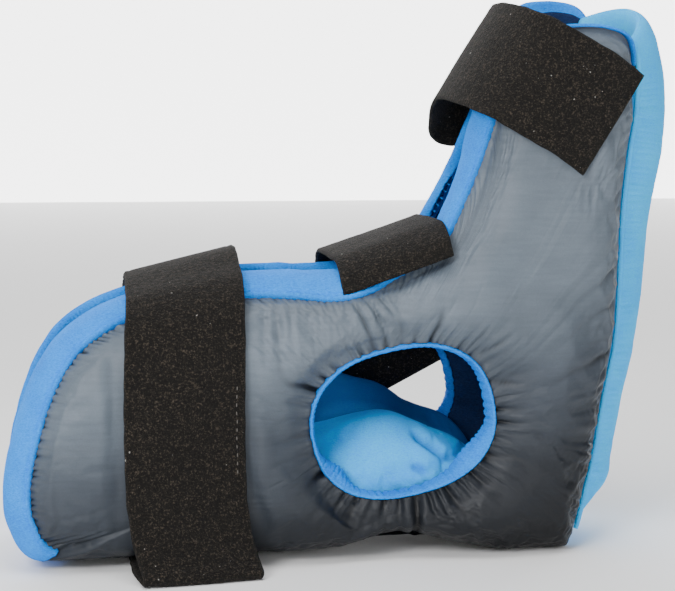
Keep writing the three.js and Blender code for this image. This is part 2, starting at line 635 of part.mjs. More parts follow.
// Forefoot strap, a slack loop. along, share of FOOT_LENGTH; side, how far out in shares of
// FOOT_HALF_WIDTH; foot, share of FOOT_HEIGHT; layers, strap thicknesses above the floor; rise and
// swing, how far the strap's width climbs and turns towards the heel end.
const FOREFOOT = [
  [0.298, 0, 1.075, 0, 0.24, 0],
  [0.298, -0.22, 1.06, 0, 0.24, 0.02],
  [0.297, -0.48, 1.02, 0, 0.22, 0.02],
  [0.295, -0.8, 0.955, 0, 0.18, 0.0],
  [0.292, -1.03, 0.855, 0, 0.12, -0.02],
  [0.29, -1.11, 0.71, 0, 0.06, 0.02],
  [0.289, -1.125, 0.57, 0, 0.02, 0.02],
  [0.289, -1.14, 0.42, 0, 0, 0.04],
  [0.291, -1.2, 0.27, 0, 0, 0.07],
  [0.298, -1.3, 0.14, 0, 0, 0.11],
  [0.308, -1.39, 0.055, 0.6, 0, 0.13],
  [0.314, -1.45, 0.012, 1.2, 0, 0.14],
  [0.314, -1.465, 0, 1.1, 0, 0.14],
  [0.312, -1.43, 0, 0.55, 0, 0.12],
  [0.306, -1.25, 0, 0.5, 0, 0.06],
  [0.3, -0.9, 0, 0.5, 0, 0],
  [0.3, -0.3, 0, 0.5, 0, 0],
  [0.3, 0.3, 0, 0.5, 0, 0],
  [0.3, 0.74, 0, 0.5, 0, 0],
  [0.3, 1.0, 0.03, 0.5, 0, 0],
  [0.3, 1.12, 0.14, 0.5, 0, 0],
  [0.3, 1.14, 0.32, 0, 0, 0],
  [0.3, 1.14, 0.5, 0, 0, 0],
  [0.3, 1.125, 0.68, 0, 0.04, 0],
  [0.3, 1.06, 0.83, 0, 0.12, 0],
  [0.299, 0.84, 0.95, 0, 0.2, 0],
  [0.298, 0.5, 1.02, 0, 0.24, 0],
  [0.298, 0.22, 1.06, 0, 0.24, 0],
].map(([along, side, foot, layers, rise, swing]) => ({ along, side, foot, layers, rise, swing }));
const forefootStrap = () =>
  strap(
    stationsFrom(FOREFOOT, 1.5, true, ({ along, side, foot, layers, rise, swing }) => ({
      middle: vec(
        along * FOOT_LENGTH,
        side * FOOT_HALF_WIDTH,
        Math.max(foot * FOOT_HEIGHT + thick(layers), thick(0.5)),
      ),
      across: vec(1, swing, rise),
    })),
    true,
  );

// Instep strap: sewn over the left edge, arched over the slit, then down outside the right panel to
// its end beside the heel opening. Columns as above; arch, share of STRAP_ARCH.
const INSTEP = [
  [0.65, -0.85, 1.0125, 0, 0.37, -0.13],
  [0.648, -0.745, 1.06, 0.13, 0.37, -0.13],
  [0.645, -0.54, 1.06, 0.72, 0.37, -0.06],
  [0.64, -0.3, 1.05, 1.0, 0.36, 0],
  [0.636, 0, 1.05, 1.1, 0.33, 0],
  [0.636, 0.3, 1.05, 1.05, 0.33, 0],
  [0.64, 0.54, 1.05, 0.68, 0.35, 0.06],
  [0.646, 0.78, 1.045, 0.2, 0.36, 0.12],
  [0.654, 0.99, 0.985, 0, 0.38, 0.12],
  [0.665, 1.13, 0.9, 0, 0.42, 0.08],
  [0.678, 1.165, 0.8, 0, 0.46, 0.04],
  [0.695, 1.17, 0.69, 0, 0.49, 0],
  [0.714, 1.17, 0.585, 0, 0.51, 0],
  [0.735, 1.145, 0.49, 0, 0.52, 0],
].map(([along, side, foot, arch, rise, swing]) => ({ along, side, foot, arch, rise, swing }));
const instepStrap = () =>
  strap(
    stationsFrom(INSTEP, 1.5, false, ({ along, side, foot, arch, rise, swing }) => ({
      middle: vec(
        along * FOOT_LENGTH,
        side * FOOT_HALF_WIDTH,
        foot * FOOT_HEIGHT + arch * STRAP_ARCH,
      ),
      across: vec(1, swing, rise),
    })),
    false,
  );

// Calf strap: both ends lie on the panels near the spine, and the loop stands off ahead of the shin.
// ahead, share of the way from the ends to the front of the loop; side, share of CALF_HALF_WIDTH.
const CALF_STRAP_BACK = 12; // from the back seam to the ends
const CALF_STRAP_UP = 0.62; // height of the ends, as a share of CALF_HEIGHT
const CALF_STRAP_SLOPE = degrees(32);
const CALF_STRAP = [
  [0, -1.11],
  [0.14, -1.145],
  [0.34, -1.16],
  [0.54, -1.13],
  [0.72, -0.99],
  [0.87, -0.73],
  [0.965, -0.4],
  [1, 0],
  [0.965, 0.52],
  [0.875, 0.98],
  [0.72, 1.13],
  [0.54, 1.18],
  [0.34, 1.17],
  [0.14, 1.145],
  [0, 1.11],
].map(([ahead, side]) => ({ ahead, side }));
function calfStrap() {
  const end = vec(
    FOOT_LENGTH + CALF_STRAP_UP * CALF_LEAN - CALF_STRAP_BACK,
    0,
    FOOT_HEIGHT + CALF_STRAP_UP * CALF_HEIGHT,
  );
  const front = outlineAt(SHIN_TOP - 0.35).x - STRAP_STANDOFF;
  const reach = (end.x - front) / Math.cos(CALF_STRAP_SLOPE);
  const forward = vec(-Math.cos(CALF_STRAP_SLOPE), 0, Math.sin(CALF_STRAP_SLOPE));
  const across = vec(Math.sin(CALF_STRAP_SLOPE), 0, Math.cos(CALF_STRAP_SLOPE));
  return strap(
    stationsFrom(CALF_STRAP, 1.5, false, ({ ahead, side }) => ({
      middle: end
        .clone()
        .addScaledVector(forward, ahead * reach)
        .setY(side * CALF_HALF_WIDTH),
      across,
    })),
    false,
  );
}

// Materials
const cloth = (color, roughness) =>
  new THREE.MeshStandardMaterial({ color, roughness, metalness: 0 });
const greyCloth = cloth(0x7d858b, 0.62);
const blueKnit = cloth(0x5b9edb, 0.92);
const blueLining = cloth(0x3f83c6, 0.92);
const blackPile = cloth(0x2b2724, 0.95);

// The boot, with each piece named
const boot = new THREE.Group();
function add(name, geometry, material) {
  const mesh = new THREE.Mesh(geometry, material);
  mesh.name = name;
  boot.add(mesh);
}
for (const [name, side] of [["left", -1], ["right", 1]]) {
  add(`side_panel_${name}`, sidePanel(side), greyCloth);
  add(`lining_${name}`, lining(side), blueLining);
  add(`edge_binding_${name}`, edgeBinding(side), blueKnit);
  add(`hole_binding_${name}`, openingBinding(side), blueKnit);
  add(`spine_piping_${name}`, spinePiping(side), blueKnit);
}
add("sole_pad", solePad(), greyCloth);
add("foot_cushion", footCushion(), blueLining);
add("heel_spine", heelSpine(), blueKnit);
add("toe_binding", toeBinding(), blueKnit);
add("forefoot_strap", forefootStrap(), blackPile);
add("instep_strap", instepStrap(), blackPile);
add("calf_strap", calfStrap(), blackPile);

// The origin is on the floor, under the middle of everything.
const whole = new THREE.Box3().setFromObject(boot);
const middle = whole.getCenter(vec(0, 0, 0));
boot.position.set(-middle.x, -middle.y, -whole.min.z);

export default boot;
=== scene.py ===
import math

import bmesh
import bpy
import numpy as np
from mathutils import Matrix, Vector


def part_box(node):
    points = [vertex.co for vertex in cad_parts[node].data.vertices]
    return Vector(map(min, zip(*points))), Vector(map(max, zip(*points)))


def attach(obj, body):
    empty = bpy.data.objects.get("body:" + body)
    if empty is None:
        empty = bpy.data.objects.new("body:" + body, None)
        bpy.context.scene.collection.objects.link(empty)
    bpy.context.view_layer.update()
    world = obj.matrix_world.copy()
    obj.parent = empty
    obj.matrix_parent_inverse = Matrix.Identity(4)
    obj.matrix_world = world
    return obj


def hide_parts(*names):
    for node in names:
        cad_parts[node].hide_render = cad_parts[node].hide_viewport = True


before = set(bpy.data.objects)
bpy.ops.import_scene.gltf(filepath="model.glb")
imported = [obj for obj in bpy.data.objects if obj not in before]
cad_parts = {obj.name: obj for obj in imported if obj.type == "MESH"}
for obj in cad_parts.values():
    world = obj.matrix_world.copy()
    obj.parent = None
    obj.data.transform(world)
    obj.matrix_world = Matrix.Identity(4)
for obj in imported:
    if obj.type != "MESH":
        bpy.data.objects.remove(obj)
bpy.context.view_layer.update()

# Driving dimensions: as in the part's source, but for the narrower bindings and the broader straps
FOOT_LENGTH = 338
FOOT_HEIGHT = 160
CALF_HEIGHT = 138
CALF_DEPTH = 88
CALF_LEAN = 22
FOOT_HALF_WIDTH = 66
CALF_HALF_WIDTH = 59
HEEL_HALF_WIDTH = 60
SLIT = 40 / 2
TOE = 98 / 2
SOLE = 84 / 2
BACK = 84 / 2
SPINE_BULGE = 29
CUFF_RISE = 18
CORNER_RISE = 3
CUFF_HEM = 5
PANEL_WALL = 20
EDGE_WALL = 5
SEAM_WALL = 8
PANEL_SHARE = 0.6
PANEL_PUFF = 4
SOLE_WALL = 11
SPINE_WALL = 13
OPENING_LENGTH = 107
OPENING_HEIGHT = 86
OPENING_TILT = math.radians(13)
OPENING_CENTRE = (FOOT_LENGTH - 116, 79)
OPENING_SQUARENESS = 2.35
OPENING_WALL = 12
OPENING_PINCH = 6
BINDING_WIDTH = 13.8
PIPING_SIZE = 3.4
STRAP_WIDTH = 66
STRAP_THICKNESS = 2.6
STRAP_ARCH = 12
CUSHION_HEIGHT = 58
CUSHION_HALF = FOOT_HALF_WIDTH - PANEL_WALL - 3
CUSHION_HEEL = 0.9
CROWDING = 1.8
FAN = 0.75

# Of the cloth alone
PINCH_REACH = 14  # from the heel opening's rim
FAR_LEAN, CORNER_OUT = 14, 2  # how far the far shin edge lies back and the far cuff's corner out
CUFF_ROLL = 0.84  # share of the near cuff's binding that is rolled under the panel
PANEL_TUCK = 3  # of the covers under their bindings
TOE_LIP = 5
SEWN_IN = 0.35  # of spine, sole and toe lip from their seams

# Outline of a side panel: along, forward, lean, foot, calf, half width, rounding, turn, lead
OUTLINE_ROWS = np.array([
    [0.045, 0, 0, 0.04, 0, TOE, 26, 196, 0],
    [0.008, 0, 0, 0.15, 0, TOE, 28, 191, 0],
    [0.0, 0, 0, 0.275, 0, TOE, 30, 187, 0],
    [0.01, 0, 0, 0.42, 0, 0.9 * TOE, 32, 182, 0],
    [0.036, 0, 0, 0.615, 0, 0.74 * TOE, 38, 176, 0],
    [0.075, 0, 0, 0.768, 0, 0.62 * TOE, 42, 170, 0],
    [0.122, 0, 0, 0.855, 0, 0.52 * TOE, 45, 164, 0],
    [0.19, 0, 0, 0.925, 0, SLIT, 46, 157, 0],
    [0.295, 0, 0, 0.982, 0, SLIT, 46, 150, 0],
    [0.39, 0, 0, 1.012, 0, SLIT, 46, 141, 0],
    [0.465, 0, 0, 1.015, 0, SLIT, 46, 133, 0],
    [0.54, 0, 0, 1.012, 0, SLIT, 44, 125, 0],
    [0.62, 0, 0, 1.038, 0, SLIT, 43, 117, 0.04],
    [0.682, 0, 0, 1.092, 0, SLIT, 42, 112, 0.1],
    [1, 1.107, 0.16, 1, 0.16, SLIT, 42, 107, 0.14],
    [1, 1.0, 0.38, 1, 0.385, SLIT, 42, 102, 0.22],
    [1, 0.955, 0.62, 1, 0.655, 1.02 * SLIT, 42, 96, 0.42],
    [1, 0.868, 1, 1, 1.01, 1.1 * SLIT, 42, 88, 0.5],
    [1, 0.55, 1, 1, 1.025, 2.4 * SLIT, 42, 74, 0.58],
    [1, 0.24, 1, 1, 1.02, 2.3 * SLIT, 36, 63, 0.46],
    [1, 0.03, 1, 1, 0.945, BACK, 30, 54, 0.4],
    [1, 0.0, 0.95, 1, 0.7, BACK, 30, 47, 0.44],
    [1, 0.0, 0.78, 1, 0.5, BACK, 30, 39, 0.4],
    [1, 0.0, 0.62, 1, 0.25, BACK, 30, 30, 0.3],
    [1, 0.0, 0.54, 0.9, 0, BACK, 30, 18, 0.16],
    [1, 0.0, 0.44, 0.73, 0, BACK, 30, 8, 0.06],
    [1, 0.0, 0.2, 0.565, 0, BACK, 28, -2, 0],
    [1, 0.02, 0, 0.34, 0, BACK, 26, -14, 0],
    [1, 0.07, 0, 0.22, 0, BACK, 24, -22, 0],
    [0.955, 0, 0, 0.018, 0, BACK, 24, -36, 0],
    [0.92, 0, 0, 0, 0, SOLE, 26, -42, 0],
    [0.84, 0, 0, 0, 0, SOLE, 26, -54, 0],
    [0.75, 0, 0, 0.036, 0, SOLE, 24, -70, 0],
    [0.655, 0, 0, 0.082, 0, SOLE, 22, -90, 0],
    [0.55, 0, 0, 0.034, 0, SOLE, 24, -112, 0],
    [0.44, 0, 0, 0.022, 0, SOLE, 26, -130, 0],
    [0.28, 0, 0, 0.022, 0, SOLE, 26, -145, 0],
    [0.15, 0, 0, 0.022, 0, SOLE, 26, -156, 0],
])
SHIN_TOP = 17
CUFF_BACK = 20
HEEL_CORNER = 29
SOLE_HEEL = 30
COUNT = len(OUTLINE_ROWS)
TOE_END, CUFF_END = 0.24, 0.4
SOLE_FRONT = COUNT - 0.5
_along, _forward, _lean, _foot, _calf, _half, _round, _turn, _lead = OUTLINE_ROWS.T
OUTLINE = np.stack([
    _along * FOOT_LENGTH - _forward * CALF_DEPTH + _lean * CALF_LEAN,
    _foot * FOOT_HEIGHT + _calf * CALF_HEIGHT,
    _half,
    _round,
    _turn,
    _lead * CALF_DEPTH,
], axis=1)
X, Z, HALF, ROUND, TURN, LEAD = range(6)

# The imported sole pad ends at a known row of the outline, which places the drawing in the frame.
_sole_low, _sole_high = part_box("sole_pad")
SHIFT = np.array([
    _sole_high[0] * 1000 - OUTLINE[SOLE_HEEL, X],
    (_sole_low[1] + _sole_high[1]) * 500,
    0,
])


def mix(a, b, t):
    return a + (b - a) * t


def smooth(low, high, v):
    t = np.clip((v - low) / (high - low), 0, 1)
    return t * t * (3 - 2 * t)


def bump(v, centre, width):
    return np.exp(-(((v - centre) / width) ** 2))


def unit(v):
    return v / np.maximum(np.linalg.norm(v, axis=-1, keepdims=True), 1e-9)


def walked(points):
    """Length walked along points, from 0 at the first."""
    return np.concatenate([[0], np.linalg.norm(np.diff(points, axis=0), axis=1).cumsum()])


def curve(rows, t, closed=False, turn=None):
    """Smooth curve through the rows of a table; a closed one starts again after its last row."""
    rows = np.asarray(rows, float)
    t = np.asarray(t, float)
    i = np.floor(t).astype(int)
    f = (t - i).reshape(t.shape + (1,) * (rows.ndim - 1))

    def row(k):
        if not closed:
            return rows[np.clip(k, 0, len(rows) - 1)]
        out = rows[k % len(rows)]
        if turn is not None:
            out = out.copy()
            out[..., turn] -= 360 * np.floor_divide(k, len(rows))
        return out

    p, q, r, s = (row(i + step) for step in (-1, 0, 1, 2))
    return q + 0.5 * f * (r - p + f * (2 * p - 5 * q + 4 * r - s + f * (3 * (q - r) + s - p)))


def outline_at(t):
    row = curve(OUTLINE, t, closed=True, turn=TURN)
    row[..., Z] = np.maximum(row[..., Z], 0)
    return row


def opening_at(turn, inset=0.0):
    """Rim of the heel opening at a turn in degrees from the heel end."""
    a = np.radians(turn) - OPENING_TILT
    power = 2 / OPENING_SQUARENESS
    long = np.sign(np.cos(a)) * np.abs(np.cos(a)) ** power * (OPENING_LENGTH / 2 - inset)
    high = np.sign(np.sin(a)) * np.abs(np.sin(a)) ** power * (OPENING_HEIGHT / 2 - inset)
    cos, sin = math.cos(OPENING_TILT), math.sin(OPENING_TILT)
    return (OPENING_CENTRE[0] + long * cos - high * sin,
            OPENING_CENTRE[1] + long * sin + high * cos)


def place(t, depth):
    """Place on a panel: depth goes from 0 at its edge to 1 at the rim of the heel opening."""
    edge = outline_at(t)
    ex, ez = edge[..., X], edge[..., Z]
    rx, rz = opening_at(edge[..., TURN])
    length = np.hypot(rx - ex, rz - ez)
    f = np.clip(depth, 0, 1) ** CROWDING
    a, b = outline_at(t - 0.15), outline_at(t + 0.15)
    run = np.hypot(b[..., X] - a[..., X], b[..., Z] - a[..., Z])
    inx, inz = (b[..., Z] - a[..., Z]) / run, -(b[..., X] - a[..., X]) / run
    lead = edge[..., LEAD]
    bend = smooth(0, 0.15, np.maximum(lead, 0) / CALF_DEPTH)
    first = (ex + mix((rx - ex) / 3, inx * lead, bend), ez + mix((rz - ez) / 3, inz * lead, bend))
    second = (rx - (rx - ex) / 3 + FAN * lead, rz - (rz - ez) / 3)
    g = 1 - f

    def on(p, q, r, s):
        return g ** 3 * p + 3 * g * g * f * q + 3 * g * f * f * r + f ** 3 * s

    return on(ex, first[0], second[0], rx), on(ez, first[1], second[1], rz), length


def depth_at(t, distance):
    return np.clip(distance / place(t, np.zeros_like(t))[2], 0, 1) ** (1 / CROWDING)


# Edges that the wall rounds out from: all of the outline but the cuff, which is cut straight through
_walk = np.arange((CUFF_BACK + 1) * 9, (COUNT + SHIN_TOP) * 9 + 1) / 9
ROUNDING_EDGE = outline_at(_walk)
_carried = ROUNDING_EDGE[[0, -1]].copy()
_carried[:, X] += 0.5 * CALF_LEAN
_carried[:, Z] += 0.5 * CALF_HEIGHT
ROUNDING_EDGE = np.vstack([_carried[:1], ROUNDING_EDGE, _carried[1:]])
WHOLE_EDGE = outline_at(np.arange(COUNT * 6 + 1) / 6)


def gaps_to(line, x, z, batch=4000):
    """Of some places at a time: how far along each stretch of a line its nearest point is, and the
    gap and distance to it."""
    a, d = line[:-1, :2], np.diff(line[:, :2], axis=0)
    points = np.stack([np.ravel(x), np.ravel(z)], 1)
    for start in range(0, len(points), batch):
        p = points[start:start + batch, None]
        f = np.clip(((p - a) * d).sum(2) / np.maximum((d ** 2).sum(1), 1e-9), 0, 1)
        gap = p - a - f[..., None] * d
        yield f, gap, np.sqrt((gap ** 2).sum(2))


def near_edge(x, z):
    """Distance from the rounding edges, their half width and rounding, and the way out to them."""
    a, b = ROUNDING_EDGE[:-1], ROUNDING_EDGE[1:]
    step = np.sqrt(((b - a)[:, :2] ** 2).sum(1)) + 0.01
    out = []
    for f, gap, distance in gaps_to(ROUNDING_EDGE, x, z):
        w = step / (distance ** 2 + 1) ** 2
        half, rounding = ((w * mix(a[:, k], b[:, k], f)).sum(1) / w.sum(1) for k in (HALF, ROUND))
        away = -(w[..., None] * gap / (distance + 0.01)[..., None]).sum(1)
        away /= np.maximum(np.hypot(away[:, 0], away[:, 1]), 1e-9)[:, None]
        out.append(np.column_stack([distance.min(1), half, rounding, away]))
    return [column.reshape(np.shape(x)) for column in np.concatenate(out).T]


def distance_to(line, x, z):
    """Distance of places from a closed line of points."""
    nearest = [distance.min(1) for _, _, distance in gaps_to(line, x, z)]
    return np.concatenate(nearest).reshape(np.shape(x))


_rim = np.stack(opening_at(np.linspace(0, 360, 181)), 1)


def cuff_rise(x, z, side):
    """How much higher the far side stands, towards its cuff and most at its back corner."""
    if side < 0:
        return 0 * z
    corner = smooth(315, 352, x) * smooth(240, 290, z)
    front = mix(0.3, 1, smooth(285, 325, x))
    return CUFF_RISE * front * smooth(0.25, 1, (z - FOOT_HEIGHT) / CALF_HEIGHT) + CORNER_RISE * corner


def far_lean(x, z):
    """How far the far shin edge lies behind the near one, and the far cuff's back corner stands out."""
    shin = FOOT_LENGTH - 0.9 * CALF_DEPTH
    lean = FAR_LEAN * smooth(185, 275, z) * (1 - smooth(shin + 18, shin + 64, x))
    return lean + CORNER_OUT * smooth(320, 352, x) * smooth(250, 290, z)


class Wall:
    """The padded wall over places of the side view: its skin, facing and distances."""

    def __init__(self, x, z):
        self.x, self.z = x, z
        self.distance, half, rounding, away_x, away_z = near_edge(x, z)
        self.from_edge = distance_to(WHOLE_EDGE, x, z)
        self.from_rim = distance_to(_rim, x, z)
        calf = smooth(0.85, 1.35, z / FOOT_HEIGHT)
        heel = smooth(0.78, 0.95, x / FOOT_LENGTH) * (1 - calf)
        full = mix(mix(FOOT_HALF_WIDTH, CALF_HALF_WIDTH, calf), HEEL_HALF_WIDTH, heel)
        lift = 1 - np.clip(self.distance / rounding, 0, 1)
        swell = np.sqrt(1 - lift * lift)
        drawn = bump(self.from_rim, 0, PINCH_REACH)
        pinch = OPENING_PINCH * drawn * smooth(0, PINCH_REACH, self.from_edge)
        self.y = half + (full - half) * swell - pinch
        slope = np.maximum(full - half, 6) * lift / rounding / np.maximum(swell, 0.02)
        slope *= 1 - drawn * 0.8
        norm = np.sqrt(1 + slope ** 2)
        self.out = np.stack([away_x * slope / norm, 1 / norm, away_z * slope / norm], -1)

    def points(self, side, lift):
        """The skin on one side, lifted off along its facing."""
        p = np.stack([self.x, self.y, self.z], -1) + self.out * np.asarray(lift)[..., None]
        p[..., 1] *= side
        p[..., 2] += cuff_rise(self.x, self.z, side)
        if side > 0:
            p[..., 0] += far_lean(self.x, self.z)
        return p


def binding_width(t, side):
    """Width of the sewn-on jersey; on the near cuff it is mostly rolled under the panel."""
    walk = np.where(t > (COUNT + CUFF_BACK) / 2, t - COUNT, t)
    taper = smooth(-TOE_END, 0, walk) * (1 - smooth(CUFF_BACK - 0.3, CUFF_BACK + CUFF_END, walk))
    if side < 0:
        taper = taper * (1 - CUFF_ROLL * smooth(SHIN_TOP + 0.2, SHIN_TOP + 1, walk))
    taper = taper * (1 - 0.14 * smooth(13, 15, walk))
    return np.where((walk > -TOE_END) & (walk < CUFF_BACK + CUFF_END), BINDING_WIDTH * taper, 0)


# Irregularity, always the same for a seed
def wander(s, size, seed):
    """Smooth random wander between -1 and 1 along a length, over about size."""
    table = np.random.default_rng(seed).uniform(-1, 1, 256)[:, None]
    return curve(table, np.asarray(s) / size, closed=True)[..., 0]


def lumps(u, v, size, seed):
    """Smooth random lumps between -1 and 1 over a surface."""
    table = np.random.default_rng(seed).uniform(-1, 1, (64, 64))
    u, v = np.asarray(u) / size + 17, np.asarray(v) / size + 29
    i, j = np.floor(u).astype(int), np.floor(v).astype(int)
    f, g = u - i, v - j
    f, g = f * f * (3 - 2 * f), g * g * (3 - 2 * g)
    i, j = i % 64, j % 64
    k, m = (i + 1) % 64, (j + 1) % 64
    return mix(mix(table[i, j], table[k, j], f), mix(table[i, m], table[k, m], f), g)


def gathers(s, r, spacing, deep, reach, seed):
    """Gathers of cloth sewn into a seam: s runs along the seam, r away from it. Sharp valleys of
    uneven depth and length with round pleats between them."""
    pick = np.random.default_rng(seed)
    strength, length = pick.uniform(0.25, 1, 512), pick.uniform(0.45, 1.35, 512)
    warped = s / spacing + 0.42 * wander(s, 2.3 * spacing, seed + 1)
    nearest = np.round(warped)
    off = warped - nearest + 0.12 * wander(r, 9, seed + 2) * smooth(0, 12, r)
    k = nearest.astype(int) % 512
    fade = np.exp(-((np.maximum(r, 0) / (reach * length[k])) ** 1.5))
    valley = bump(off, 0, 0.17) * strength[k]
    pleat = np.cos(math.pi * np.clip(off, -0.5, 0.5)) ** 2
    return deep * fade * (0.45 * (1 - pleat) - valley)


def crease(x, z, ax, az, bx, bz, wide, deep):
    """A valley in the cloth from one place to another, tapering off at both ends."""
    run = math.hypot(bx - ax, bz - az)
    f = ((x - ax) * (bx - ax) + (z - az) * (bz - az)) / run ** 2
    off = ((x - ax) * (bz - az) - (z - az) * (bx - ax)) / run
    along = smooth(-0.12, 0.25, f) * (1 - smooth(0.55, 1.15, f))
    return -deep * along * (bump(off, 0, wide) - 0.45 * bump(off / wide, 0, 2.6))


# Meshes
def facing(points, closed=(False, False)):
    """Directions square to a sheet of points."""
    def step(axis):
        if closed[axis]:
            return np.roll(points, -1, axis) - np.roll(points, 1, axis)
        return np.gradient(points, axis=axis)
    return unit(np.cross(step(0), step(1)))


def to_frame(points):
    return (np.asarray(points) + SHIFT) / 1000

def linked(name, data):
    """A new object in the scene."""
    new = bpy.data.objects.new(name, data)
    bpy.context.scene.collection.objects.link(new)
    return new


def meshed(name, shape, finish):
    """The object of a finished shape."""
    for face in shape.faces:
        face.smooth = True
    mesh = bpy.data.meshes.new(name)
    shape.to_mesh(mesh)
    shape.free()
    mesh.materials.append(finish)
    return linked(name, mesh)


def field(items, key, size=3, kind=np.float32):
    """A field of all the items of a mesh, in rows of its size."""
    values = np.empty(len(items) * size, kind)
    items.foreach_get(key, values)
    return values.reshape(-1, size)


def woven(name, points, finish=None, wrap=(False, True), fold=None, capped=True):
    """A sheet of facets over rows and columns of points in the drawing, welded where it wraps."""
    points = np.asarray(points, float)
    if wrap[0]:
        points = np.concatenate([points, points[:1]], 0)
    if wrap[1]:
        points = np.concatenate([points, points[:, :1]], 1)
    rows, columns = points.shape[0] - 1, points.shape[1] - 1
    shape = bmesh.new()
    bmesh.ops.create_grid(shape, x_segments=columns, y_segments=rows, size=1)
    mesh = bpy.data.meshes.new(name)
    shape.to_mesh(mesh)
    shape.free()
    grid = (field(mesh.vertices, "co") + 1) / 2
    c, r = (np.rint(grid[:, k] * count).astype(int) for k, count in enumerate((columns, rows)))
    mesh.vertices.foreach_set("co", to_frame(points)[r, c].astype(np.float32).ravel())
    # how deep each place lies in a fold, from 0 to 1, which the finishes darken as painted shade
    fold = np.zeros(points.shape[:2]) if fold is None else np.asarray(fold, float)
    fold = np.pad(fold, [(0, more - some) for more, some in zip(points.shape, fold.shape)], "wrap")
    for key, kind, values in (("fold", "FLOAT", fold[r, c]), ("row", "INT", r), ("column", "INT", c)):
        if capped == (key == "fold"):
            values = values.astype(np.float32 if kind == "FLOAT" else np.int32)
            mesh.attributes.new(key, kind, "POINT").data.foreach_set("value", values)
    shape = bmesh.new()
    shape.from_mesh(mesh)
    bmesh.ops.remove_doubles(shape, verts=shape.verts, dist=2e-6)
    rims = [e for e in shape.edges if e.is_boundary]
    if rims and capped:
        bmesh.ops.holes_fill(shape, edges=rims, sides=0)
    bmesh.ops.recalc_face_normals(shape, faces=shape.faces)
    for face in shape.faces:
        face.smooth = True
    shape.to_mesh(mesh)
    shape.free()
    if finish is not None:
        mesh.materials.append(finish)
    return linked(name, mesh)


CLOTH_FRAMES = 20


def settled(name, points, wrap, held, away, growth, pressure, cap):
    """How each place of a sheet moves when its cloth, cut larger by its growth, puffs out between its
    seams. held is how firmly a place is sewn down, away the side that the filling pushes to, and cap
    the furthest that a place may move."""
    sheet = woven(name, points, wrap=wrap, capped=False)
    mesh = sheet.data
    rows, columns = (field(mesh.attributes[key].data, "value", 1, np.int32)[:, 0] % count
                     for key, count in zip(("row", "column"), points.shape))
    if (field(mesh.vertices, "normal") @ np.asarray(away, float)).sum() < 0:
        mesh.flip_normals()
    seams = sheet.vertex_groups.new(name="seams")
    for k, firm in enumerate(held[rows, columns]):
        seams.add([k], float(firm), "REPLACE")
    cloth = sheet.modifiers.new("cloth", "CLOTH")
    for key, value in {
            "quality": 6, "mass": 0.25, "tension_stiffness": 20, "compression_stiffness": 20,
            "shear_stiffness": 6, "bending_stiffness": 0.08, "air_damping": 2,
            "vertex_group_mass": "seams", "shrink_min": -growth, "use_pressure": True,
            "uniform_pressure_force": pressure}.items():
        setattr(cloth.settings, key, value)
    cloth.settings.effector_weights.gravity = 0
    cloth.collision_settings.use_collision = False
    cloth.point_cache.frame_end = CLOTH_FRAMES
    for step in range(1, CLOTH_FRAMES + 1):
        bpy.context.scene.frame_set(step)
    moved = sheet.evaluated_get(bpy.context.evaluated_depsgraph_get()).to_mesh()
    spot = field(moved.vertices, "co")
    bpy.context.scene.frame_set(1)
    bpy.data.objects.remove(sheet)
    bpy.data.meshes.remove(mesh)
    move = np.zeros(points.shape)
    move[rows, columns] = spot * 1000 - SHIFT - points[rows, columns]
    far = np.linalg.norm(move, axis=-1, keepdims=True)
    return move * np.minimum(1, cap / np.maximum(far, 1e-6))


def belongs(piece, node):
    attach(piece, "root")
    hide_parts(node)


# Finishes
class Value:
    """A socket whose operators add the Math nodes that they stand for."""

    def __init__(self, look, socket):
        self.look, self.socket = look, socket

    def operator(operation):
        return lambda self, other: self.look.node(
            "ShaderNodeMath", {"operation": operation}, [self, other])

    __add__, __sub__ = operator("ADD"), operator("SUBTRACT")
    __mul__, __gt__ = operator("MULTIPLY"), operator("GREATER_THAN")


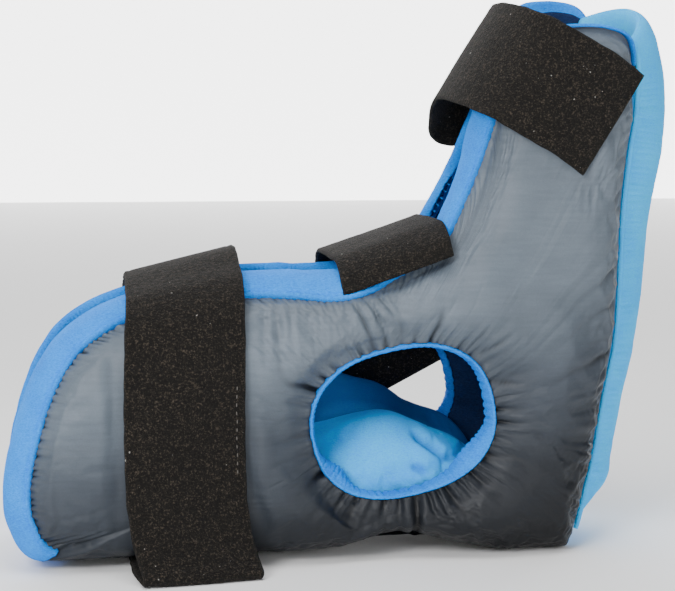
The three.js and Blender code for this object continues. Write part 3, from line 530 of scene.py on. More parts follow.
class Look:
    """A finish: its Principled shader with its constants, and the nodes that feed it."""

    def __init__(self, name, **constants):
        self.material = bpy.data.materials.new(name)
        self.material.use_nodes = True
        self.tree = self.material.node_tree
        self.shader = self.tree.nodes["Principled BSDF"]
        for key, value in constants.items():
            self.shader.inputs[key.replace("_", " ")].default_value = value

    def node(self, kind, settings=None, sockets=(), out=0):
        made = self.tree.nodes.new(kind)
        for key, value in (settings or {}).items():
            if key == "stops":
                ramp = made.color_ramp
                while len(ramp.elements) < len(value):
                    ramp.elements.new(0.5)
                for stop, (at, color) in zip(ramp.elements, value):
                    stop.position, stop.color = at, (*color, 1)
            else:
                setattr(made, key, value)
        pairs = sockets.items() if isinstance(sockets, dict) else enumerate(sockets)
        for key, value in pairs:
            if isinstance(value, Value):
                self.tree.links.new(value.socket, made.inputs[key])
            else:
                made.inputs[key].default_value = value
        return Value(self, made.outputs[out])

    def place(self, scale=(1, 1, 1)):
        where = self.node("ShaderNodeTexCoord", out="Object")
        return self.node("ShaderNodeVectorMath", {"operation": "MULTIPLY"}, [where, scale])

    def part(self, where, axis):
        return self.node("ShaderNodeSeparateXYZ", sockets=[where], out=axis)

    def fold(self):
        """How deep a place lies in a fold, from 0 to 1, for painting shade into the folds."""
        return self.node("ShaderNodeAttribute", {"attribute_name": "fold"}, out=2)

    def noise(self, where, scale, detail=3, rough=0.55):
        return self.node("ShaderNodeTexNoise", sockets={
            "Vector": where, "Scale": scale, "Detail": detail, "Roughness": rough})

    def ramp(self, value, *stops):
        return self.node("ShaderNodeValToRGB", {"stops": stops}, [value])

    def blend(self, a, b, share, how="MIX"):
        return self.node("ShaderNodeMix", {"data_type": "RGBA", "blend_type": how},
                         {0: share, 6: a, 7: b}, out=2)

    def tinted(self, a, b):
        return self.blend(a, b, 1.0, "MULTIPLY")

    def feed(self, key, value):
        self.tree.links.new(value.socket, self.shader.inputs[key])

    def relief(self, height, distance, strength=1.0):
        normal = self.node("ShaderNodeBump", sockets={
            "Strength": strength, "Distance": distance, "Height": height})
        self.feed("Normal", normal)


def linear(r, g, b):
    """A colour given in 0 to 255 steps of a screen, as the shader takes it."""
    return tuple(((c / 255 + 0.055) / 1.055) ** 2.4 if c > 10 else c / 3295 for c in (r, g, b))


WHITE = (1, 1, 1)
GREY_LOW, GREY_HIGH = (90, 100, 110), (106, 117, 128)
# Painted shade of the grey cloth, by height above the floor in metres less a share of the way back
# towards the heel
SHADE = ((0.0, (0.02, 0.02, 0.024)), (0.04, (0.09, 0.09, 0.1)), (0.09, (0.37, 0.37, 0.39)),
         (0.14, (0.94, 0.94, 0.94)))


def grey_taffeta():
    """Plain-woven nylon with a satin sheen; painted shade makes it darker and duller towards the floor
    and the heel.
    """
    look = Look("grey taffeta", Specular_IOR_Level=0.26)
    where = look.place()
    patches = look.noise(where, 16, 2)
    warp, weft = (look.noise(look.place(run), 700, 2, 0.7) for run in ((1, 1, 8), (8, 1, 1)))
    weave = warp + weft
    tone = look.ramp(patches, (0.3, linear(*GREY_LOW)), (0.7, linear(*GREY_HIGH)))
    speck = look.ramp(weave * 0.5, (0.35, (0.8, 0.8, 0.8)), (0.65, WHITE))
    # painted shade: the cloth darker lower down and further back towards the heel
    shade = look.ramp(look.part(where, 2) - look.part(where, 0) * 0.22 + patches * 0.02, *SHADE)
    cloth = look.tinted(tone, speck)
    streaks = look.noise(look.place((1, 1, 9)), 55, 3)
    streaks = look.ramp(streaks, (0.35, (0.9, 0.9, 0.9)), (0.65, WHITE))
    cloth = look.tinted(look.tinted(cloth, streaks), shade)
    # painted shade in the folds of the cloth, by how deep each place lies in one
    depth = look.ramp(look.fold(), (0.0, WHITE), (1.0, (0.12, 0.12, 0.13)))
    look.feed("Base Color", look.tinted(cloth, depth))
    look.feed("Roughness", look.noise(where, 60) * 0.14 + 0.36)
    look.relief(look.noise(where, 190, 3) * 0.8 + weave * 0.2, 0.0006, 0.5)
    return look.material


def blue_jersey(name, pale, deep, shadow=None):
    """Brushed heather knit; a shadow colour, if given, paints shade over its side away from the near
    panel.
    """
    look = Look(name, Roughness=0.92, Specular_IOR_Level=0.2)
    where = look.place()
    heather = look.noise(look.place((1, 1, 3)), 620, 3, 0.8)
    patches = look.noise(where, 40, 2)
    tone = look.ramp(heather * 0.75 + patches * 0.25, (0.34, linear(*deep)), (0.66, linear(*pale)))
    if shadow:
        # painted shadow over the far side, away from the near panel
        across = look.part(look.place((10, 10, 10)), 1)
        tint = look.ramp(across + look.noise(where, 30) * 0.05, (0.2, WHITE), (0.36, shadow))
        tone = look.tinted(tone, tint)
    # painted shade in the folds of the knit
    depth = look.ramp(look.fold(), (0.0, WHITE), (1.0, (0.3, 0.4, 0.6)))
    look.feed("Base Color", look.tinted(tone, depth))
    loops = look.node("ShaderNodeTexVoronoi", sockets={"Vector": where, "Scale": 1500})
    look.relief(heather + loops * 0.5, 0.0006, 0.7)
    return look.material


def black_pile():
    look = Look("black loop pile", Roughness=0.95, Sheen_Weight=0.02, Sheen_Roughness=0.45,
                Specular_IOR_Level=0.2)
    where = look.place()
    loops = look.noise(where, 900, 3, 0.8)
    tufts = look.noise(where, 330, 3, 0.7)
    tone = look.ramp(loops * 0.75 + tufts * 0.25, (0.4, linear(9, 8, 7)),
                     (0.53, linear(21, 19, 16)), (0.68, linear(76, 67, 57)))
    lint = look.noise(where, 420, 1, 0.3)
    tone = look.blend(tone, (0.26, 0.25, 0.23, 1), lint > 0.81)
    look.feed("Base Color", tone)
    look.relief(loops + tufts, 0.0014, 1.0)
    return look.material


def plain(name, color, roughness):
    look = Look(name, Roughness=roughness)
    speck = look.noise(look.place(), 800, 2)
    look.feed("Base Color", look.ramp(speck, (0.3, tuple(c * 0.8 for c in color)), (0.7, color)))
    return look.material


GREY = grey_taffeta()
BLUE = blue_jersey("sky-blue jersey", (10, 150, 246), (4, 104, 208))
# a lighter copy of the lining's jersey, as painted light where the cushion shows through the heel
# opening, with painted shadow over its far side
LIT_AND_SHADED_CUSHION_BLUE = blue_jersey("cushion jersey with painted light and shade", (54, 196, 255), (26, 156, 252), (0.14, 0.17, 0.26))
# dark navy jersey, made darker still as painted shade of the inside of the boot
SHADED_LINING = blue_jersey("navy lining darkened as painted shade", (30, 52, 92), (16, 30, 60))
# a lighter copy of the sky-blue jersey, as painted light on the spine and its piping, which face away
# from the lamps
LIT_SPINE_BLUE = blue_jersey("spine jersey lightened as painted light", (58, 204, 255), (26, 162, 255))
BLACK = black_pile()
THREAD = plain("pale thread", linear(186, 182, 176), 0.8)
DULL_THREAD = plain("grey thread", linear(96, 92, 88), 0.8)

# Plan of a side panel: lines from its bound edge to the heel opening, evened out
PLAN_ROWS, PLAN_DEPTH, PLAN_PASSES = COUNT * 6, 24, 60


def panel_plan(side):
    t = np.arange(PLAN_ROWS) * COUNT / PLAN_ROWS
    start = depth_at(t, np.maximum(binding_width(t, side) - PANEL_TUCK, 0))
    depth = start[:, None] + (1 - start[:, None]) * np.linspace(0, 1, PLAN_DEPTH + 1)
    x, z, _ = place(np.repeat(t[:, None], PLAN_DEPTH + 1, 1), depth)
    plan = np.stack([x, z], -1)
    for _ in range(PLAN_PASSES):
        calm = (np.roll(plan, 1, 0) + np.roll(plan, -1, 0))[:, 1:-1] + plan[:, :-2] + plan[:, 2:]
        plan[:, 1:-1] = mix(plan[:, 1:-1], calm / 4, 0.5)
    return plan


def curve_across(rows, t, closed=False):
    """The same as curve, through the columns of a table."""
    return np.moveaxis(curve(np.moveaxis(rows, 1, 0), t, closed), 0, 1)


def refined(plan, rows, columns):
    """A plan with more rows and columns, on smooth curves through the first ones."""
    plan = curve(plan, np.arange(rows) * len(plan) / rows, closed=True)
    return curve_across(plan, np.linspace(0, plan.shape[1] - 1, columns + 1))


def panel_wall(side, rows, columns):
    return Wall(*np.moveaxis(refined(PLANS[side], rows, columns), -1, 0))


def along_edge(rows):
    """Length round the outline at each row of a plan, in millimetres."""
    t = np.arange(rows + 1) * COUNT / rows
    p = outline_at(t)[:, :2]
    return t[:-1], np.concatenate([[0], np.hypot(*np.diff(p, axis=0).T).cumsum()])[:-1]


PLANS = {side: panel_plan(side) for side in (-1, 1)}
RIM_LENGTH = np.hypot(*np.diff(_rim, axis=0).T).sum()

# Creases of the near panel, seen from the side: from, to, width and depth
CREASES = [
    (228, 36, 231, 10, 2.6, 4.5),
    (194, 146, 203, 126, 1.6, 2.6),
    (200, 149, 210, 132, 1.5, 2.2),
    (207, 152, 217, 137, 1.4, 1.8),
    (150, 150, 150, 108, 2.8, 2.2),
    (157, 148, 158, 122, 2.2, 1.6),
    (144, 148, 141, 110, 2.4, 1.5),
    (197, 112, 187, 126, 1.5, 2.6),
    (190, 106, 183, 114, 1.3, 1.6),
    (262, 115, 283, 128, 1.7, 2.8),
    (258, 119, 268, 131, 1.5, 2.2),
    (240, 122, 246, 134, 1.4, 1.5),
    (276, 100, 290, 98, 1.4, 1.6),
]


# Gathers: spacing, depth, reach and seed, of the cloth that is sewn in at the heel opening, under
# the edge bindings, up the back and under the foot
RIM_GATHERS = (8.5, 2.3, 12, 5), (4.8, 0.9, 6, 9), (21, 1.5, 26, 13)
EDGE_GATHERS = (4.2, 1.9, 4.5, 21), (12, 0.9, 10, 25)
BACK_GATHERS = (8, 1.5, 13, 31), (24, 1.5, 30, 35)
UNDER_GATHERS = (11, 1.5, 14, 41)
STRAP_PRESS = 0.8  # how far the forefoot strap presses the cover in


def under_strap(x, z):
    """Where the forefoot strap presses the cover flat, from 0 to 1."""
    low = 1 - smooth(8, 60, z)
    return smooth(53, 61, x) * (1 - smooth(133 + 10 * low, 140 + 12 * low, x))


def puff_alone(wall, bound):
    return PANEL_PUFF * smooth(-1, 13, wall.from_edge - bound) * smooth(0, 16, wall.from_rim)


def round_opening(x, z, tilt=0):
    """Length round the heel opening of the way from its centre to each place."""
    angle = np.arctan2(z - OPENING_CENTRE[1], x - OPENING_CENTRE[0]) - tilt
    return (angle / (2 * math.pi)) % 1 * RIM_LENGTH


def panel_relief(wall, rows, side):
    """Height of the quilting, gathers and creases over the panel's skin, and how deep each place
    lies in a fold, which sets the painted shade in its folds."""
    t, length = along_edge(rows)
    t, length = t[:, None], length[:, None]
    x, z = wall.x, wall.z
    seed = 11 if side < 0 else 57
    round_rim = round_opening(x, z, OPENING_TILT)
    bound = binding_width(t, side)
    off_seam = wall.from_edge - bound
    height = puff_alone(wall, bound)
    height += 1.1 * lumps(x, z, 46, seed) * smooth(4, 40, off_seam)
    height += 0.45 * lumps(x, z, 19, seed + 3) * smooth(4, 25, off_seam)
    smoothed = height.copy()

    def sewn(at, off, rows, share=1):
        for ahead, (spacing, deep, reach, more) in zip(at, rows):
            height[:] += gathers(ahead, off, spacing, deep, reach, seed + more) * share

    sewn((round_rim, round_rim, round_rim + 3), wall.from_rim, RIM_GATHERS)
    toe = 1 - smooth(6, 9, t)
    free = smooth(0.5, 6, bound)
    for least, row in zip((0.45, 0.5), EDGE_GATHERS):
        sewn([length], off_seam, [row], free * mix(least, 1, toe))
    start = smooth(1, 5, wall.from_edge)
    back = smooth(CUFF_BACK, CUFF_BACK + 1, t) * (1 - smooth(HEEL_CORNER, SOLE_HEEL, t)) * start
    sewn([length] * 2, wall.from_edge, BACK_GATHERS, back)
    under = smooth(HEEL_CORNER, SOLE_HEEL, t) * (1 - smooth(COUNT - 1.5, COUNT - 0.5, t)) * start
    sewn([length], wall.from_edge, [UNDER_GATHERS], under)
    cuff = smooth(SHIN_TOP + 0.3, SHIN_TOP + 1, t) * (1 - smooth(CUFF_BACK + 0.3, CUFF_BACK + 1.2, t))
    for surface, deep in ((height, 1.6), (smoothed, 1.0)):
        surface -= deep * bump(off_seam, 0, 2.2) * free + 2.4 * (1 - smooth(-2.4, 0.4, off_seam))
        surface -= 5 * cuff * bump(off_seam, 0, 5)
    if side < 0:
        for row in CREASES:
            height += crease(x, z, *row)
    strapped = under_strap(x, z)
    height = mix(height, np.minimum(height, puff_alone(wall, bound) - STRAP_PRESS), strapped)
    return height, smooth(0.3, 2.6, smoothed - height) * (1 - strapped)


CLOTH_ROWS, CLOTH_COLUMNS = 336, 40


def cover_puff(side, rows, columns):
    """How the cover's cloth puffs and puckers between its seams, simulated on a coarser sheet."""
    wall = panel_wall(side, CLOTH_ROWS, CLOTH_COLUMNS)
    bound = binding_width(along_edge(CLOTH_ROWS)[0][:, None], side)
    free = smooth(0.5, 9, wall.from_edge - bound) * smooth(0.5, 9, wall.from_rim)
    sheet = wall.points(side, puff_alone(wall, bound))
    move = settled("cover sheet", sheet, (True, False), 1 - free, (0, side, 0),
                   growth=0.012, pressure=1.0, cap=2.4)
    kept = smooth(0, 5, wall.from_rim) * smooth(0, 5, wall.from_edge - bound)
    move *= (kept * (1 - under_strap(wall.x, wall.z)))[..., None]
    return refined(move, rows, columns)


def padding(wall, share, at_rim):
    """Thickness of a share of the padded wall, thinner at the seams and at the heel opening."""
    full = mix(SEAM_WALL, PANEL_WALL, smooth(0, 45, wall.distance)) * share
    return np.minimum(full, mix(at_rim, PANEL_WALL, smooth(0, 30, wall.from_rim)))


def pad(name, front, behind, finish, fold=None):
    """A closed pad with a hole, of a fine skin and a coarser one."""
    pick = np.linspace(front.shape[1] - 1, 0, 9).astype(int)
    if fold is not None:
        fold = np.concatenate([fold, fold[:, pick] * 0], 1)
    section = np.concatenate([front, behind[:, pick]], 1)
    return woven(name, section, finish, (True, True), fold)


def side_cover(side, name):
    """Outer cover and filling of a side panel."""
    rows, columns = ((912, 84))
    wall = panel_wall(side, rows, columns)
    lift, fold = panel_relief(wall, rows, side)
    skin = wall.points(side, lift) + cover_puff(side, rows, columns)
    behind = wall.points(side, 0 * wall.x)
    behind[..., 1] -= side * padding(wall, PANEL_SHARE, OPENING_WALL - 4)
    return pad(name, skin, behind, GREY, fold)


def side_lining(side, name):
    """Blue lining pad behind a cover."""
    rows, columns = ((456, 40))
    wall = panel_wall(side, rows, columns)
    full = padding(wall, 1, OPENING_WALL)
    puckers = gathers(round_opening(wall.x, wall.z), wall.from_rim, 9, 1.2, 16, 95)
    inside, outside = wall.points(side, 0 * full), wall.points(side, 0 * full)
    inside[..., 1] -= side * (full + 1.0 * lumps(wall.x, wall.z, 30, 91 + side) + puckers)
    outside[..., 1] -= side * (full * PANEL_SHARE + 1.0)
    return pad(name, inside, outside, SHADED_LINING)


def edge_binding(side, name):
    """Jersey binding folded over a free edge, sewn down along its inner side."""
    t = np.linspace(-TOE_END, CUFF_BACK + CUFF_END - 0.01, 760)
    wide = np.maximum(binding_width(t, side), 0.5) + 0.8
    walk, length = along_edge(COUNT * 12)
    s = np.interp(t % COUNT, walk, length)[:, None]
    share = np.linspace(1, 0.03, 30)[None, :]
    w = share * wide[:, None]
    x, z, _ = place(np.repeat(t[:, None], 30, 1), depth_at(t[:, None], w))
    wall = Wall(x, z)
    full = smooth(2, 9, wide)[:, None]
    rise = 0.7 + 0.9 * (1 - (2 * share - 1) ** 2) - 0.95 * bump(share, 0.83, 0.04)
    rise = rise - 1.5 * smooth(0.93, 1.0, share)
    along = s + 0 * w
    rise = rise + 0.25 * lumps(along, w * 2.5, 8, 305) + 0.45 * lumps(along, w, 31, 307)
    rise = rise + gathers(along, wide[:, None] - w, 4.6, 0.42, 6, 301)
    top = wall.points(side, rise * mix(0.3, 1, full) - 1.8 * (1 - full))
    under = wall.points(side, -(EDGE_WALL + 1.6 * full + 0 * share))
    skin = wall.points(side, 0 * share)
    ahead = unit(skin[:, -1] - skin[:, -6])
    middle, half = (top[:, -1] + under[:, -1]) / 2, (top[:, -1] - under[:, -1]) / 2
    full = full[:, 0]
    round_edge = [middle + half * math.sin(a) + ahead * (math.cos(a) * 2.2 * full)[:, None]
                  for a in np.radians([75, 55, 35, 15, -5, -25, -45, -65])]
    section = np.concatenate([top, np.stack(round_edge, 1), under[:, ::-3]], 1)
    return woven(name, section, BLUE)


def rim_binding(side, name):
    """Gathered jersey band through the wall at the heel opening, rolled over its outer face and
    spreading on the inside, most at the lower corners."""
    count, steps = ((960, 30))
    turn = np.arange(count) * 360 / count
    s = turn / 360 * RIM_LENGTH
    wall = Wall(*opening_at(turn, 0.0))
    spread = 0.6 + 7.5 * bump(turn, 326, 25) + 7.0 * bump(turn, 222, 16) + 2.0 * bump(turn, 5, 25)
    lip = 1.7 + 0.25 * wander(s, 14, 331)
    roll = []
    for k in range(steps):
        a = 2 * math.pi * k / steps
        across, through = math.cos(a), math.sin(a)
        front = smooth(-0.6, 0.9, through)
        pucker = gathers(s, 0 * s + 2, 4.6, 0.5, 9, 333) * (1 - front) * 1.6
        pucker = pucker + gathers(s, 0 * s + 2, 3.4, 0.25, 9, 337) + 0.15 * wander(s, 7, 341 + k)
        inward = mix(spread + 1.2, lip, front) if across < 0 else lip * 0.8
        inset = 1.1 - across * inward + pucker * (1 if across < 0 else -0.5)
        face = np.sign(through) * abs(through) ** 0.5 * (OPENING_WALL / 2 + 1.3)
        px, pz = opening_at(turn, inset)
        y = wall.y - OPENING_WALL / 2 + face + (0.5 * wander(s, 17, 345) if through > 0 else 0)
        roll.append(np.stack([px, side * y, pz], 1))
    return woven(name, np.stack(roll, 1), BLUE, (True, True))


# Spine: its bulge from the cuff down, as a share of SPINE_BULGE
SPINE_ROWS = np.array([1.0, 1.12, 1.18, 1.07, 0.96, 0.9, 0.88, 0.86, 0.86, 0.1, 0.0])[:, None]


def seam_frame(t, side):
    """Places along a seam, and the way out of the panel there."""
    row, a, b = outline_at(t), outline_at(t - 0.1), outline_at(t + 0.1)
    x, z = row[..., X], row[..., Z]
    along = unit(np.stack([b[..., X] - a[..., X], b[..., Z] - a[..., Z]], -1))
    out = np.stack([-along[..., 1], 0 * x, along[..., 0]], -1)
    return np.stack([x, side * row[..., HALF], z + cuff_rise(x, z, side)], -1), out


def spine():
    """Padded spine with fine cross ribs, rounded over at the cuff."""
    rows, columns = 560, 72
    t = CUFF_BACK + np.linspace(0, 1, rows) ** 1.5 * (SOLE_HEEL - CUFF_BACK)
    left, out = seam_frame(t, -1)
    right, _ = seam_frame(t, 1)
    s = walked(left)[:, None]
    bulge = np.maximum(curve(SPINE_ROWS, t - CUFF_BACK)[:, 0], 0)[:, None] * SPINE_BULGE
    q = np.sin((np.linspace(0, 1, columns) * 2 - 1) * math.pi / 2)[None, :]
    crown = (1 - np.abs(q) ** 2.2) ** 0.9
    seam = left[:, None] + (right - left)[:, None] * ((q + 1) / 2)[..., None]
    seam[..., 1] = q * (BACK - SEWN_IN)
    near_seam = (1 - np.abs(q)) * BACK
    along = s + 0 * q
    ribs = gathers(along, near_seam, 3.6, 0.45, 16, 401) + gathers(along, near_seam, 11, 0.5, 26, 405)
    ribs = ribs * smooth(0, 3, near_seam) + 0.25 * lumps(along, q * 40 + 0 * s, 12, 409)
    ribs = ribs * smooth(0, 12, s) * smooth(0, 6, s[-1] - s)
    wall = mix(SEAM_WALL, SPINE_WALL, crown) + 0 * s
    plump = np.sqrt(np.clip(1 - (1 - np.clip(s / 9, 0, 1)) ** 2, 0.02, 1))
    middle = bulge * crown - wall / 2 - 5 * (1 - smooth(0, 26, s)) * crown
    rolled_in = CUFF_HEM * (1 - smooth(0, 30, s)) * (0.4 + 0.6 * crown)
    base = seam + np.array([0.0, 0.0, 1.0]) * rolled_in[..., None]
    outer = base + out[:, None] * (middle + plump * wall / 2 + ribs)[..., None]
    inner = base + out[:, None] * (middle - plump * wall / 2)[..., None]
    outer[..., 2] = np.maximum(outer[..., 2], 0)
    pick = np.linspace(columns - 1, 0, 13).astype(int)
    return woven("spine", np.concatenate([outer, inner[:, pick]], 1), LIT_SPINE_BLUE)
def piping(side, name, sides=12):
    """A slightly uneven cord in a seam of the spine."""
    t = np.linspace(HEEL_CORNER - 0.3, CUFF_BACK + 0.05, 420)
    point, out = seam_frame(t, side)
    stand = PIPING_SIZE / 2 + SEWN_IN
    point = point + out * stand
    point[:, 1] += side * stand
    s = np.arange(len(t)) * 0.75
    radius = PIPING_SIZE / 2 * (1 + 0.12 * wander(s, 5, 441) + 0.1 * wander(s, 13, 443))
    along = unit(np.gradient(point, axis=0))
    across = unit(np.cross(along, [0.05, 1, 0.02]))
    up = np.cross(across, along)
    a = (np.arange(sides) * 2 * math.pi / sides)[None, :, None]
    ring = across[:, None] * np.cos(a) + up[:, None] * np.sin(a)
    return woven(name, point[:, None] + ring * radius[:, None, None], LIT_SPINE_BLUE)


def sole():
    """Padded sole between the seams under the foot, flat on the floor at the heel."""
    t = np.linspace(SOLE_HEEL, SOLE_FRONT, 180)
    row = outline_at(t)
    q = np.linspace(-1, 1, 40)
    x, z, half = (np.repeat(row[:, k][:, None], 40, 1) for k in (X, Z, HALF))
    flat = (t < SOLE_HEEL + 1)[:, None]
    y = q * (half - SEWN_IN)
    soft = smooth(0, 12, half - np.abs(y))
    under = z - np.where(flat, 0, 0.8 * soft * (0.5 + 0.5 * lumps(x, y, 22, 451)))
    over = z + mix(SEAM_WALL, SOLE_WALL, smooth(0, 16, half - np.abs(y)))
    over = over + 0.5 * lumps(x, y, 25, 453) * soft
    low, high = np.stack([x, y, np.maximum(under, 0)], -1), np.stack([x, y, over], -1)
    return woven("sole", np.concatenate([low, high[:, ::-1]], 1), GREY)


# Cushion from toe to heel, as shares: height of its near swell and its far one, and its width
CUSHION = np.array([
    [0.2, 0.2, 0.84], [0.45, 0.45, 0.92], [0.55, 0.55, 0.95], [0.66, 0.7, 1.0], [0.84, 1.36, 1.0],
    [0.91, 1.6, 1.0], [0.91, 1.22, 1.0], [0.84, 0.97, 0.98], [0.72, 0.86, 0.9], [0.2, 0.2, 0.8]])
# Creases of its near side, seen from the side: from, to, width and depth
CUSHION_CREASES = [
    (230, 50, 242, 44, 2.8, 5),
    (233, 67, 252, 53, 2.8, 5.5),
    (249, 52, 270, 56, 2.6, 4),
    (186, 50, 198, 38, 4.0, 1.6),
    (216, 38, 238, 30, 3.0, 1.2),
]


def cushion():
    """Puffy floor cushion: a near swell that fills the heel opening and a higher one beyond it."""
    rows, around = 301, 160
    heel = CUSHION_HEEL * FOOT_LENGTH
    x = np.linspace(30, heel - 16, rows)
    line = outline_at(np.linspace(SOLE_HEEL, COUNT, 400))
    floor = np.interp(x, line[::-1, X], line[::-1, Z]) + SOLE_WALL + 0.6
    top, far, width = curve(CUSHION, x / heel * (len(CUSHION) - 1)).T * CUSHION_HEIGHT
    half = width / CUSHION_HEIGHT * CUSHION_HALF
    across = np.array([-0.8, 0, 0.8, 1, 0.97, 0.76, 0.36, 0.02, -0.45, -0.86, -1])
    up = np.stack([0 * x, 0 * x, 0 * x, 0.35 * far, 0.8 * far, far, 0.84 * top, top, 0.96 * top,
                   0.76 * top, 0.36 * top], 1)
    ring = np.stack([x[:, None] + 0 * up, half[:, None] * across, floor[:, None] + up], -1)
    ring = curve_across(ring, np.arange(around) * len(across) / around, closed=True)
    ring[..., 2] = np.maximum(ring[..., 2], floor[:, None])
    coarse = ring[::3, ::3]
    off_floor = smooth(3, 16, coarse[..., 2] - floor[::3, None])
    walk = np.arange(len(coarse))
    off_ends = smooth(0, 8, np.minimum(walk, walk[::-1]))[:, None]
    move = settled("cushion sheet", coarse, (False, True), 1 - off_floor * off_ends, (0, 0, 0),
                   growth=0.008, pressure=0.8, cap=1.0)
    move = curve_across(curve(move, np.arange(rows) / 3), np.arange(around) / 3)
    ring = ring + move * smooth(0, 12, ring[..., 2] - floor[:, None])[..., None]
    px, py, pz = np.moveaxis(ring, -1, 0)
    swell = 1.8 * lumps(px, py, 34, 471) + 0.7 * lumps(px, pz, 15, 473)
    for row in CUSHION_CREASES:
        swell += crease(px, pz, *row) * (1 - smooth(-16, 0, py))
    soft = smooth(0, 14, pz - floor[:, None])
    # how deep each place lies in a crease, which the cushion's finish darkens as painted shade
    fold = smooth(1.5, 7, 1.8 - swell)
    ring = ring - facing(ring, (False, True)) * (swell * soft)[..., None]
    return woven("floor_cushion", ring, LIT_AND_SHADED_CUSHION_BLUE, fold=fold)


def toe_lip():
    """Binding across the sole's front edge."""
    thick = SEAM_WALL / 2
    line = outline_at(np.linspace(SOLE_FRONT, COUNT, 30))
    sections = [(x, z + thick, half - SEWN_IN, thick) for x, z, half in line[:, [X, Z, HALF]]]
    x, z, half, _ = sections[-1]
    for a in np.linspace(0, math.pi / 2, 9)[1:]:
        sections.append((x - TOE_LIP * math.sin(a), z + 0.6 * math.sin(a), half,
                         max(thick * math.cos(a), 0.3)))
    rows = []
    for x, z, half, thick in sections:
        y = np.linspace(-1, 1, 120) * half
        plump = thick * (1 + 0.06 * wander(y, 8, 481))
        low, high = (np.stack([0 * y + x, y, z + way * plump], 1) for way in (-1, 1))
        rows.append(np.concatenate([low, high[::-1]]))
    return woven("toe_lip", np.stack(rows), BLUE)


# Straps: along the foot, to the side, up, layers or arch, and the way across with its rise and swing
FOREFOOT = np.array([
    [0.298, 0, 1.043, 0, 0.24, 0],
    [0.298, -0.22, 1.034, 0, 0.24, 0.02],
    [0.297, -0.48, 1.003, 0, 0.22, 0.02],
    [0.295, -0.8, 0.955, 0, 0.18, 0.0],
    [0.292, -1.03, 0.855, 0, 0.12, -0.02],
    [0.29, -1.11, 0.71, 0, 0.06, 0.02],
    [0.289, -1.125, 0.57, 0, 0.02, 0.02],
    [0.289, -1.14, 0.42, 0, 0, 0.04],
    [0.291, -1.2, 0.27, 0, 0, 0.07],
    [0.298, -1.3, 0.14, 0, 0, 0.11],
    [0.308, -1.39, 0.055, 0.6, 0, 0.13],
    [0.314, -1.45, 0.012, 1.2, 0, 0.14],
    [0.314, -1.465, 0, 1.1, 0, 0.14],
    [0.312, -1.43, 0, 0.55, 0, 0.12],
    [0.306, -1.25, 0, 0.5, 0, 0.06],
    [0.3, -0.9, 0, 0.5, 0, 0],
    [0.3, -0.3, 0, 0.5, 0, 0],
    [0.3, 0.3, 0, 0.5, 0, 0],
    [0.3, 0.74, 0, 0.5, 0, 0],
    [0.3, 1.0, 0.03, 0.5, 0, 0],
    [0.3, 1.12, 0.14, 0.5, 0, 0],
    [0.3, 1.14, 0.32, 0, 0, 0],
    [0.3, 1.14, 0.5, 0, 0, 0],
    [0.3, 1.125, 0.68, 0, 0.04, 0],
    [0.3, 1.06, 0.83, 0, 0.12, 0],
    [0.299, 0.84, 0.95, 0, 0.2, 0],
    [0.298, 0.5, 1.003, 0, 0.24, 0],
    [0.298, 0.22, 1.034, 0, 0.24, 0],
])
INSTEP = np.array([
    [0.65, -0.85, 1.0125, 0, 0.37, -0.13],
    [0.648, -0.745, 1.06, 0.13, 0.37, -0.13],
    [0.645, -0.54, 1.06, 0.72, 0.37, -0.06],
    [0.64, -0.3, 1.05, 1.0, 0.36, 0],
    [0.636, 0, 1.05, 1.1, 0.33, 0],
    [0.636, 0.3, 1.05, 1.05, 0.33, 0],
    [0.64, 0.54, 1.05, 0.68, 0.35, 0.06],
    [0.646, 0.78, 1.045, 0.2, 0.36, 0.12],
    [0.654, 0.99, 0.985, 0, 0.38, 0.12],
    [0.665, 1.13, 0.9, 0, 0.42, 0.08],
    [0.678, 1.165, 0.8, 0, 0.46, 0.04],
    [0.695, 1.17, 0.69, 0, 0.49, 0],
    [0.718, 1.17, 0.585, 0, 0.51, 0],
    [0.739, 1.145, 0.49, 0, 0.52, 0],
])
STRAP_STANDOFF = 6
CALF_STRAP_BACK, CALF_STRAP_UP, CALF_STRAP_SLOPE, CALF_STRAP_DROP = 12, 0.62, math.radians(32), 17
STRAP_COLUMNS = 56
HALF_GRAIN = 31  # how far the unevenness runs across half a strap
# Of the calf strap, as shares: towards its front, to the side
CALF_STRAP = np.array([
    [0, -1.11], [0.14, -1.145], [0.34, -1.16], [0.54, -1.13], [0.72, -0.99], [0.87, -0.73],
    [0.965, -0.4], [1, 0], [0.965, 0.52], [0.875, 0.98], [0.72, 1.13], [0.54, 1.18], [0.34, 1.17],
    [0.14, 1.145], [0, 1.11]])


